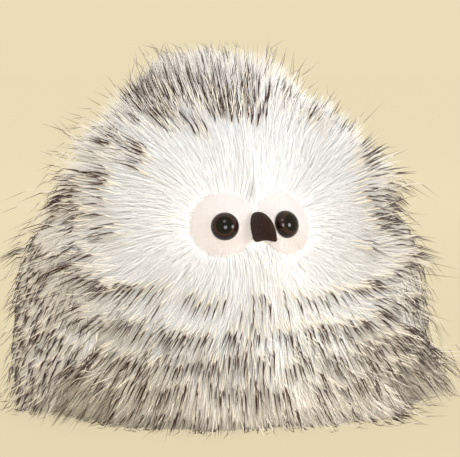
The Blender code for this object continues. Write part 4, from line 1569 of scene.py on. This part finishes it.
@dataclass
class Beak:
    """The felt beak, folded flat-sided, with its tip bent a little to the owl's left."""

    head: HeadForm
    reach: float = 0.0125
    height: float = 0.0126
    width: float = 0.0062
    drop: float = 0.0008
    lean: float = 0.0026
    seat: float = 0.0398
    squareness: float = 0.85
    sides: int = 32
    out_shares: Shares = (-0.12, 0.0, 0.25, 0.5, 0.72, 0.88, 1.0)
    top_shares: Shares = (0.48, 0.48, 0.43, 0.31, 0.12, -0.13, -0.52)
    bottom_shares: Shares = (-0.52, -0.53, -0.56, -0.60, -0.66, -0.72, -0.76)
    width_shares: Shares = (1.0, 1.0, 0.97, 0.9, 0.76, 0.58, 0.34)
    lean_shares: Shares = (0.0, 0.0, 0.12, 0.34, 0.62, 0.84, 1.0)

    def build(self) -> Piece:
        """Loft the beak through its sections and round it."""
        steps = np.linspace(0, 1, 25)
        read = [
            MoundForm.read(shares, steps, False)
            for shares in (
                self.out_shares, self.top_shares, self.bottom_shares, self.width_shares, self.lean_shares,
            )
        ]
        angles = np.arange(self.sides) / self.sides * math.tau
        across = np.sign(np.cos(angles)) * np.abs(np.cos(angles)) ** self.squareness
        rings = []
        for out, top, bottom, wide, lean in zip(*read):
            rings.append(np.stack([
                self.lean * lean + self.width * wide / 2 * across,
                np.full(self.sides, -self.seat - self.reach * out),
                self.height * ((top + bottom) / 2 + (top - bottom) / 2 * np.sin(angles)) - self.drop,
            ], axis=1))
        made = Workshop.lofted("felt_beak", rings)
        place = Matrix.Translation(Vector(self.head.centre)) @ self.head.turn.to_4x4()
        Workshop.smooth(Workshop.moved(made, place), math.radians(60))
        felt = ClothFinish("beak_felt", linear(56, 33, 24), linear(24, 13, 9), 1500, depth=0.0005, sheen=0.04)
        return dressed(made, felt.material(), "body", "beak_cover")


@dataclass(frozen=True)
class WingLook:
    """How one wing's hair lies: each wing was fitted to its own side of the photograph."""

    length: float
    lift: float
    end_lift: float
    end_length: float
    shaded: float
    bar_half_width: float


@dataclass(frozen=True)
class Wing:
    """A soft wing: a cloth lining against the flank, and a padded fur piece over it."""

    mound: MoundForm
    strands: Strands
    seed: int = 77
    top_height: float = 0.083
    length: float = 0.073
    width: float = 0.062
    thickness: float = 0.0115
    tip_flare: float = 0.004
    turn: float = math.radians(-12)
    lining_thickness: float = 0.002
    lining_inset: float = 0.0015
    lining_full_share: float = 0.5
    lining_edge_power: float = 0.45
    arc_points: int = 25
    rings: int = 44
    ring_span: Span = (0.004, 0.996)
    gap: float = 0.0003
    pile_depth: float = 0.006
    front_reach: float = 0.024
    back_reach: float = 0.012
    above_share: float = 0.4
    cover_span: Span = (-0.4, 0.95)
    count: int = 15_000
    lock: float = 0.5
    tick_lock: float = 0.85
    tick_swell: float = 2.1
    outermost: float = 0.99
    step_share: float = 0.01
    step_aside: float = 0.001
    loose_length: Span = (-0.2, 0.1)
    lift_spread: float = 10
    rim: Span = (0.6, 1.0)
    rim_lean: float = 0.8
    back_sweep: float = 0.8
    back_sweep_spread: float = 0.25
    end: Span = (0.6, 0.95)
    droop: float = 0.04
    end_droop: float = 0.25
    brush_sway: Noise = Noise(0.14, 0.02, 60)
    length_noise: Noise = Noise(0.16, 0.006, 23)
    pale_tone: float = -0.68
    pale_patches: Noise = Noise(0.15, 0.012, 5)
    pale_spread: float = 0.06
    shade_tone: Span = (0.05, 0.16)
    wisps: int = 300
    wisp_span: Span = (0.1, 0.98)
    wisp_length: Span = (1.1, 1.6)
    wisp_lift: Span = (2, 18)
    tick_places: int = 6000
    tick_strands: int = 4
    tick_radius: float = 0.0006
    half_girth: float = 0.025
    tick_spacing: float = 0.0026
    tick_tone: float = 0.48
    tick_length: float = 1.18
    tick_length_range: Span = (0.9, 1.05)
    tick_rise: float = math.radians(4)
    bar_pitch: float = 0.0105
    bar_slope: float = 0.4
    bar_sway: Noise = Noise(0.2, 0.018, 9)
    bar_chance: float = 0.85
    stray_chance: float = 0.025
    along_shares: Shares = (0.0, 0.05, 0.14, 0.26, 0.42, 0.58, 0.72, 0.85, 0.95, 1.0)
    width_shares: Shares = (0.04, 0.34, 0.60, 0.82, 0.98, 1.0, 0.88, 0.62, 0.32, 0.03)
    thickness_shares: Shares = (0.03, 0.22, 0.46, 0.74, 0.95, 1.0, 0.94, 0.74, 0.42, 0.03)
    flare_shares: Shares = (0.0, 0.0, 0.0, 0.0, 0.05, 0.2, 0.5, 0.8, 1.0, 1.0)
    right_look: WingLook = WingLook(
        length=0.0150, lift=20, end_lift=4, end_length=0.1, shaded=0.16, bar_half_width=0.24,
    )
    left_look: WingLook = WingLook(
        length=0.0168, lift=21, end_lift=26, end_length=0.4, shaded=0.18, bar_half_width=0.18,
    )

    @property
    def pad_inner(self) -> float:
        """How far the fur piece's inner side lies from the flank."""
        return 2 * self.gap + self.lining_thickness

    @property
    def pad_depth(self) -> float:
        """The fur piece's greatest thickness under its pile."""
        return self.thickness - self.lining_thickness - self.pile_depth

    def look(self, side: Side) -> WingLook:
        """How the hair of a side's wing lies."""
        return self.right_look if side is Side.RIGHT else self.left_look

    def point(self, along: Rows, across: Rows, out: Rows) -> tuple[Rows, Rows]:
        """Places on the left wing, and the directions out of the flank there."""
        climb = self.mound.climb_at(self.top_height - self.length * along)
        turn = self.turn + across / self.mound.reach
        normal = self.mound.normal(turn, climb)
        return self.mound.point(turn, climb) + normal * np.asarray(out)[..., None], normal

    def shares_at(self, along: Rows) -> tuple[Rows, Rows, Rows]:
        """The width, thickness and flare shares at places along the wing."""
        return tuple(
            np.interp(along, self.along_shares, shares)
            for shares in (self.width_shares, self.thickness_shares, self.flare_shares)
        )

    def layer(
        self, name: str, side: Side, inner: float, depth: float, full_share: float = 1.0,
        power: float = 1.0, inset: float = 0.0,
    ) -> Piece:
        """Loft one layer of a wing, on the left, and mirror it where the side asks for it.

        Args:
            name: The piece's name.
            side: Which wing it is for.
            inner: How far its inner side lies from the flank.
            depth: Its greatest thickness.
            full_share: The share of the wing's thickness from which it has all its own.
            power: How square its edge is.
            inset: How far its edge lies inside the wing's.

        Returns:
            The piece.
        """
        points = self.arc_points
        angles = np.linspace(0, math.pi, points)
        rings = []
        for along in np.linspace(*self.ring_span, self.rings):
            wide, thick, flare = (float(share) for share in self.shares_at(np.array(along)))
            half = self.width * wide / 2 - inset * min(1.0, wide)
            lift = inner + self.tip_flare * flare
            rise = depth * min(1.0, thick / full_share) * np.maximum(np.sin(angles), 0) ** power
            outer, _ = self.point(np.full(points, along), half * np.cos(angles), lift + rise)
            under = np.full(points - 2, along)
            back, _ = self.point(under, half * np.cos(angles[-2:0:-1]), np.full(points - 2, lift))
            rings.append(np.concatenate([outer, back]))
        made = Workshop.smooth(Workshop.lofted(name, rings), math.radians(50))
        if side is Side.RIGHT:
            made.data.transform(Matrix.Diagonal((-1, 1, 1, 1)))
            Workshop.tidy(made)
        return made

    def build(self, side: Side, finish: StrandColour) -> None:
        """Make the lining, the padded fur backing and the pile of one wing."""
        body = side.word + "_wing"
        lining = self.layer(
            body + "_cloth", side, self.gap, self.lining_thickness,
            self.lining_full_share, self.lining_edge_power, self.lining_inset,
        )
        cloth = ClothFinish(body + "_cloth", linear(233, 226, 212), linear(206, 196, 178), 1500)
        dressed(lining, cloth.material(), body, body + "_lining")
        pad = self.layer(body + "_pad", side, self.pad_inner, self.pad_depth)
        # The pad is darker than the body's underfur, at the mean tone of the barred fur over it: partly its
        # dark ticks, partly painted shade.
        ticked_and_shaded_backing = StuffedBody.finish(linear(206, 196, 181), linear(228, 220, 207))
        dressed(pad, ticked_and_shaded_backing, body)
        name = body + "_pile"
        pile = self.pile(side)
        piece = self.strands.build(name, pile)
        dressed(piece, finish.material(name), body, body + "_fur")
        log.info("%s: %d strands", name, len(pile.root))

    def cover(self, turn: Rows, climb: Rows) -> tuple[Rows, Rows, Rows]:
        """How places on the body lie to the wings.

        Args:
            turn: The turn of each place round the body.
            climb: The climb of each place.

        Returns:
            One where a wing covers the place, how near it is to a wing's edge outside it, and one
            where that is the wing's front edge.
        """
        height = self.mound.height * MoundForm.read(self.mound.height_shares, climb, False)
        from_left = np.mod(turn + math.pi, math.tau) - math.pi
        from_side = np.where(np.cos(from_left) < 0, math.pi - from_left, from_left)
        from_side = np.mod(from_side + math.pi, math.tau) - math.pi
        across = (from_side - self.turn) * self.mound.reach
        along = (self.top_height - height) / self.length
        half = self.width * self.shares_at(np.clip(along, 0, 1))[0] / 2
        inside = (along > 0) & (along < 1) & (np.abs(across) < half)
        above = np.clip(-along * self.length, 0, 1)
        gap = np.hypot(np.maximum(np.abs(across) - half, 0), above)
        level = (along > self.cover_span[0]) & (along < self.cover_span[1]) & ~inside
        reach = np.where((across < 0) | (along < 0), self.front_reach, self.back_reach)
        near = np.where(level, between(gap, reach, 0), 0.0) * np.where(along < 0, self.above_share, 1.0)
        return inside.astype(float), near, ((across < 0) & (along > 0)).astype(float)

    def lay(
        self, along: Rows, share: Rows, side: Side, rng: Draws,
        leaning: Rows, loose: float = 1.0,
    ) -> Coat:
        """Settle how strands lie on the left wing: brushed to its tip, back and over its edges.

        Args:
            along: How far along the wing each strand starts, as a share of its length.
            share: How far across it, from -1 to 1.
            side: Which wing they are for.
            rng: The seeded generator.
            leaning: Whether each strand leans out over the wing's edge.
            loose: How far single strands may differ from their neighbours.

        Returns:
            The strands.
        """
        look, count = self.look(side), len(along)
        wide, thick, flare = self.shares_at(along)
        share = np.clip(share, -self.outermost, self.outermost)
        across = self.width * wide / 2 * share
        out = self.pad_inner + self.tip_flare * flare + self.pad_depth * thick * np.sqrt(1 - share**2)
        root, normal = self.point(along, across, out)
        ahead, _ = self.point(np.minimum(along + self.step_share, 1.0), across, out)
        beside, _ = self.point(along, across + self.step_aside, out)
        lean = self.rim_lean * np.sign(share) * between(np.abs(share), *self.rim)
        rounded = normal + unit(beside - root) * lean[:, None]
        normal = unit(np.where(leaning[:, None], rounded, normal))
        way = unit(ahead - root)
        way[:, 1] += self.back_sweep + self.back_sweep_spread * share
        end = between(along, *self.end)
        length = look.length * (1 + self.length_noise.at(root)) * (1 + look.end_length * end)
        return Coat(
            root=root, normal=normal, flow=flattened(way + self.brush_sway.ways(root), normal),
            length=length * (1 + loose * rng.uniform(*self.loose_length, count)),
            lift=np.radians(look.lift + loose * rng.normal(0, self.lift_spread, count) + look.end_lift * end),
            droop=self.droop + self.end_droop * end, tone=np.zeros(count), lock=np.full(count, self.lock),
            guide=np.arange(count), bend=np.full(count, 0.5), swell=np.ones(count),
        )

    def pale_coat(self, side: Side, rng: Draws) -> Coat:
        """The pale hair that covers the wing."""
        along = rng.random(self.count)
        along = along[rng.random(self.count) < self.shares_at(along)[0]]
        count = len(along)
        leaning = rng.random(count) < 0.5
        pale = self.lay(along, rng.uniform(-1, 1, count), side, rng, leaning)
        tone = self.pale_tone + self.pale_patches.at(pale.root) + rng.normal(0, self.pale_spread, count)
        shaded = rng.random(count) < self.look(side).shaded
        pale.tone = np.where(shaded, rng.uniform(*self.shade_tone, count), np.clip(tone, *PALE_TONES))
        pale.guide = Coat.nearest_guides(pale.root, LOCK_SIZE, rng)
        return pale

    def ticks(self, side: Side, rng: Draws) -> Coat:
        """Small locks with dark tips, in bars across the wing."""
        along, share = rng.random(self.tick_places), rng.uniform(-1, 1, self.tick_places)
        across = self.width * self.shares_at(along)[0] / 2 * share
        places = np.stack([along * self.length, across, across * 0], axis=1)
        phase = (places[:, 0] + self.bar_slope * across) / self.bar_pitch + self.bar_sway.at(places)
        on_bar = np.abs(phase - np.round(phase)) < self.look(side).bar_half_width
        chance = np.where(on_bar, self.bar_chance, self.stray_chance)
        chosen = np.flatnonzero(rng.random(self.tick_places) < chance)
        chosen = chosen[spaced(places[chosen], self.tick_spacing)]
        each = self.tick_strands
        spread = rng.normal(0, self.tick_radius, (len(chosen), each, 2))
        spread[:, 0] = 0
        many = np.clip(along[chosen][:, None] + spread[:, :, 0] / self.length, *NEAR_ENDS).ravel()
        many_shares = (share[chosen][:, None] + spread[:, :, 1] / self.half_girth).ravel()
        ticks = self.lay(many, many_shares, side, rng, np.zeros(len(many), bool), 0.0)
        ticks.settle(lock=self.tick_lock, bend=TICK_BEND, swell=self.tick_swell)
        ticks.guide = np.repeat(np.arange(len(chosen)) * each, each)
        ticks.tone = np.clip(self.tick_tone + rng.normal(0, TICK_TONE_SPREAD, len(many)), *TICK_TONES)
        varied = rng.uniform(*self.tick_length_range, len(many))
        ticks.length = ticks.length[ticks.guide] * self.tick_length * varied
        ticks.lift = ticks.lift[ticks.guide] + self.tick_rise
        return ticks

    def loose_wisps(self, side: Side, rng: Draws) -> Coat:
        """Single long hairs with dark tips."""
        along, share = rng.uniform(*self.wisp_span, self.wisps), rng.uniform(-1, 1, self.wisps)
        loose = self.lay(along, share, side, rng, np.ones(self.wisps, bool))
        loose.settle(bend=WISP_BEND, swell=WISP_SWELL)
        loose.length = loose.length * rng.uniform(*self.wisp_length, self.wisps)
        loose.lift = loose.lift + np.radians(rng.uniform(*self.wisp_lift, self.wisps))
        loose.tone = rng.uniform(*WISP_TONE, self.wisps)
        return loose

    def pile(self, side: Side) -> Pile:
        """The long pile of one wing, barred across it."""
        rng = np.random.default_rng(self.seed + side.value)
        coats = [self.pale_coat(side, rng), self.ticks(side, rng), self.loose_wisps(side, rng)]
        pile = Coat.joined(coats).grown(rng)
        if side is Side.RIGHT:
            mirror = np.array([-1.0, 1, 1])
            for name in ("root", "middle", "tip", "normal"):
                setattr(pile, name, getattr(pile, name) * mirror)
        return pile


@dataclass
class Filling:
    """What the toy holds inside: loose fibre, and a bag of pellets."""

    pellet_radius: float = 0.0021
    pellet_faces: int = 2
    bag_half_width: float = 0.0415
    bag_reach: float = 0.0395
    bag_low: float = 0.0057
    bag_height: float = 0.0203
    pitch_share: float = 2.02
    layer_share: float = 0.82
    row_share: float = 0.87
    layer_shift: float = 0.29
    widest: int = 24
    seed: int = 5
    size_range: Span = (0.9, 0.99)

    def build(self) -> None:
        """Make each filling from the form of its CAD solid."""
        fibre = ClothFinish("filling", linear(247, 247, 245), linear(226, 226, 223), 420, depth=0.002)
        bag = ClothFinish("bag_cloth", linear(228, 226, 219), linear(206, 203, 195), 1800)
        for part in ("head", "body", "beak"):
            self.plumped(part + "_stuffing", part + "_fibre", fibre, "filling")
        self.plumped("pellet_bag", "pellet_pouch", bag, "bag_cloth")
        self.pellets()

    @staticmethod
    def plumped(node: str, name: str, finish: ClothFinish, slot: str) -> Piece:
        """A copy of a soft solid with its faces rounded into cloth or fibre."""
        Workshop.deselect()
        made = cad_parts[node].copy()
        made.data = made.data.copy()
        made.name = name
        made.data.name = name
        for key in list(made.keys()):
            del made[key]
        made.parent = None
        bpy.context.collection.objects.link(made)
        made.data.materials.clear()
        Workshop.tidy(made, 1e-5)
        Workshop.smooth(made, math.radians(60))
        dressed(made, finish.material(), "body", node)
        return made

    def pellet_places(self) -> Rows:
        """The middles of the pellets: layers of staggered rows within the bag's dome."""
        pitch = self.pellet_radius * self.pitch_share
        spots = []
        for layer in range(int(self.bag_height / (pitch * self.layer_share)) + 1):
            height = self.bag_low + self.pellet_radius + layer * pitch * self.layer_share
            share = (height + self.pellet_radius - self.bag_low) / self.bag_height
            if share >= 1:
                break
            room = math.sqrt(1 - share**2)
            reach_x = self.bag_half_width * room - self.pellet_radius
            reach_y = self.bag_reach * room - self.pellet_radius
            for row in range(-self.widest, self.widest + 1):
                for spot in range(-self.widest, self.widest + 1):
                    x = (spot + 0.5 * ((row + layer) % 2)) * pitch
                    y = (row * self.row_share + self.layer_shift * (layer % 2)) * pitch
                    if (x / reach_x) ** 2 + (y / reach_y) ** 2 < 1:
                        spots.append((x, y, height))
        return np.array(spots)

    def pellets(self) -> Piece:
        """One pellet, modelled once and copied into a heap that fills the bag."""
        Workshop.deselect()
        bpy.ops.mesh.primitive_ico_sphere_add(subdivisions=self.pellet_faces, radius=self.pellet_radius)
        model = Workshop.added("one_pellet")
        shape = Workshop.places(model)
        faces = np.array([tuple(face.vertices) for face in model.data.polygons])
        bpy.data.objects.remove(model)
        spots = self.pellet_places()
        size = np.random.default_rng(self.seed).uniform(*self.size_range, (len(spots), 1, 3))
        places = (shape[None] * size + spots[:, None]).reshape(-1, 3)
        steps = np.arange(len(spots))[:, None, None] * len(shape)
        mesh = bpy.data.meshes.new("loose_pellets")
        mesh.from_pydata(places.tolist(), [], (faces[None] + steps).reshape(-1, 3).tolist())
        for face in mesh.polygons:
            face.use_smooth = True
        finish = ClothFinish("pellets", linear(236, 236, 228), linear(214, 214, 204), 300, roughness=0.5)
        log.info("loose_pellets: %d pellets", len(spots))
        made = linked("loose_pellets", mesh)
        return dressed(made, finish.material(), "body", "pellets")


def dress_rigid_pieces() -> None:
    """Give the washers and the thread, which keep their CAD shapes, their finishes."""
    plastic = ClothFinish("washer_plastic", linear(237, 237, 234), linear(226, 226, 222), 500, 0.45, 0.00005)
    thread = ClothFinish("seam_thread", linear(228, 218, 200), linear(196, 184, 162), 2600, 0.7)
    for node, finish in (
        ("left_eye_washer", plastic), ("right_eye_washer", plastic), ("closing_seam_thread", thread),
    ):
        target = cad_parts[node]
        target.data.materials.clear()
        target.data.materials.append(finish.material())


@dataclass
class Studio:
    """Plain pale floor, soft light and the camera at the photograph's angle."""

    azimuth: float = math.radians(-18)
    elevation: float = math.radians(6)
    distance: float = 0.85
    pixel: float = 0.000447
    aside: float = 0.0048
    aim_height: float = 0.0772
    sensor: float = 0.036
    backdrop: Shares = linear(235, 221, 184)
    floor_colour: Shares = linear(230, 216, 179)
    # Painted shadow on the floor: the glow is darker near the toy and fades to the backdrop's colour far off.
    painted_shadow_glow: Shares = linear(229, 215, 178)
    far_glow: Shares = linear(235, 221, 184)
    shadow_fade_start: float = 0.1
    shadow_fade_end: float = 1.3
    glow_share: float = 0.92
    floor_radius: float = 6
    daylight: Shares = linear(250, 250, 252)
    daylight_strength: float = 0.98
    lamp_aim: float = 0.07

    def build(self) -> None:
        """Make the floor, the lights and the camera. Each lamp has a place, a width and watts."""
        self.camera()
        self.floor()
        self.world()
        for lamp in (
            ("key", (-0.45, -0.97, 1.2), 0.45, 2.6),
            ("front", (-0.9, -3.0, 0.62), 1.2, 34.0),
            ("fill", (1.8, -2.7, 0.62), 1.2, 42.0),
            ("top", (0.1, 0.3, 1.5), 1.2, 1.0),
            ("back", (0.4, 1.0, 1.0), 0.8, 7.0),
        ):
            self.lamp(*lamp)

    def camera(self) -> None:
        """The photograph's camera, fitted to the eyes, the beak and the outline."""
        back = Vector((
            math.sin(self.azimuth) * math.cos(self.elevation),
            -math.cos(self.azimuth) * math.cos(self.elevation),
            math.sin(self.elevation),
        ))
        right = Vector((math.cos(self.azimuth), math.sin(self.azimuth), 0))
        data = bpy.data.cameras.new("camera")
        data.sensor_width = self.sensor * 1000
        data.lens = self.sensor * 1000 * self.distance / (self.pixel * PHOTO_WIDTH)
        made = linked("camera", data)
        made.location = right * self.aside + Vector((0, 0, self.aim_height)) + back * self.distance
        made.rotation_mode = "QUATERNION"
        made.rotation_quaternion = (-back).to_track_quat("-Z", "Y")
        bpy.context.scene.camera = made

    def floor(self) -> None:
        """A wide floor that keeps the toy's shadow and shows the backdrop's colour, with a painted shadow:
        its glow is darker near the toy.
        """
        Workshop.deselect()
        bpy.ops.mesh.primitive_circle_add(vertices=96, radius=self.floor_radius, fill_type="NGON")
        made = Workshop.added("floor")
        material = bpy.data.materials.new("floor")
        material.use_nodes = True
        nodes = Nodes(material.node_tree)
        material.node_tree.nodes.clear()
        diffuse = nodes.add("ShaderNodeBsdfDiffuse")
        diffuse.inputs["Color"].default_value = self.floor_colour
        glow = nodes.add("ShaderNodeEmission")
        away = nodes.add("ShaderNodeVectorMath", operation="LENGTH")
        nodes.join(nodes.add("ShaderNodeTexCoord").outputs["Object"], away.inputs[0])
        # Painted shadow: the glow is darker near the toy and lighter farther away.
        far = nodes.ramp(away.outputs["Value"], self.shadow_fade_start, self.shadow_fade_end)
        nodes.join(nodes.blend(far, self.painted_shadow_glow, self.far_glow), glow.inputs["Color"])
        mix = nodes.add("ShaderNodeMixShader")
        nodes.join(nodes.math("MULTIPLY", self.seen(nodes), self.glow_share), mix.inputs[0])
        nodes.join(diffuse.outputs[0], mix.inputs[1])
        nodes.join(glow.outputs[0], mix.inputs[2])
        nodes.join(mix.outputs[0], nodes.add("ShaderNodeOutputMaterial").inputs[0])
        made.data.materials.append(material)

    @staticmethod
    def seen(nodes: Nodes) -> Socket:
        """One for rays that the camera, a gloss or glass sends, and else nought."""
        path = nodes.add("ShaderNodeLightPath")
        either = nodes.math("MAXIMUM", path.outputs["Is Camera Ray"], path.outputs["Is Glossy Ray"])
        return nodes.math("MAXIMUM", either, path.outputs["Is Transmission Ray"])

    def world(self) -> None:
        """Even light from all round, and the backdrop's colour where the camera looks past the toy."""
        world = bpy.data.worlds.new("studio")
        bpy.context.scene.world = world
        world.use_nodes = True
        nodes = Nodes(world.node_tree)
        world.node_tree.nodes.clear()
        light = nodes.add("ShaderNodeBackground")
        light.inputs["Color"].default_value = self.daylight
        light.inputs["Strength"].default_value = self.daylight_strength
        shown = nodes.add("ShaderNodeBackground")
        shown.inputs["Color"].default_value = self.backdrop
        mix = nodes.add("ShaderNodeMixShader")
        nodes.join(self.seen(nodes), mix.inputs[0])
        nodes.join(light.outputs[0], mix.inputs[1])
        nodes.join(shown.outputs[0], mix.inputs[2])
        nodes.join(mix.outputs[0], nodes.add("ShaderNodeOutputWorld").inputs[0])

    def lamp(self, name: str, place: tuple[float, float, float], size: float, power: float) -> None:
        """A soft round lamp that faces the toy."""
        data = bpy.data.lights.new(name, "AREA")
        data.shape = "DISK"
        data.size = size
        data.energy = power
        made = linked(name, data)
        made.location = place
        made.visible_camera = False
        made.rotation_mode = "QUATERNION"
        aim = Vector((0, 0, self.lamp_aim)) - Vector(place)
        made.rotation_quaternion = aim.to_track_quat("-Z", "Y")


def main() -> None:
    """Build the owl's looks, piece by piece."""
    logging.basicConfig(level=logging.INFO, format="%(message)s")
    bpy.context.scene.view_settings.view_transform = "Standard"
    mound, head = MoundForm(), HeadForm()
    form = UnderfurForm(mound, head)
    Studio().build()
    strands = Strands()
    wing = Wing(mound, strands)
    colour = StrandColour()
    # The disc's nap, too, has roots painted a little lighter than its tips, as painted light in the pile's
    # shade.
    pink = StrandColour(
        white_root=linear(241, 233, 230), white_tip=linear(240, 232, 228),
        cream_root=linear(239, 231, 226), cream_tip=linear(238, 229, 224),
    )
    StuffedBody(form).build()
    Sole(mound).build()
    BodyPile(form, wing, strands).build(colour)
    for side in Side:
        SafetyEye(head).build(side)
        EyeDisc(head, strands).build(side, pink)
        wing.build(side, colour)
    Beak(head).build()
    Filling().build()
    dress_rigid_pieces()
    log.info("all pieces built")


if __name__ == "__main__":
    main()
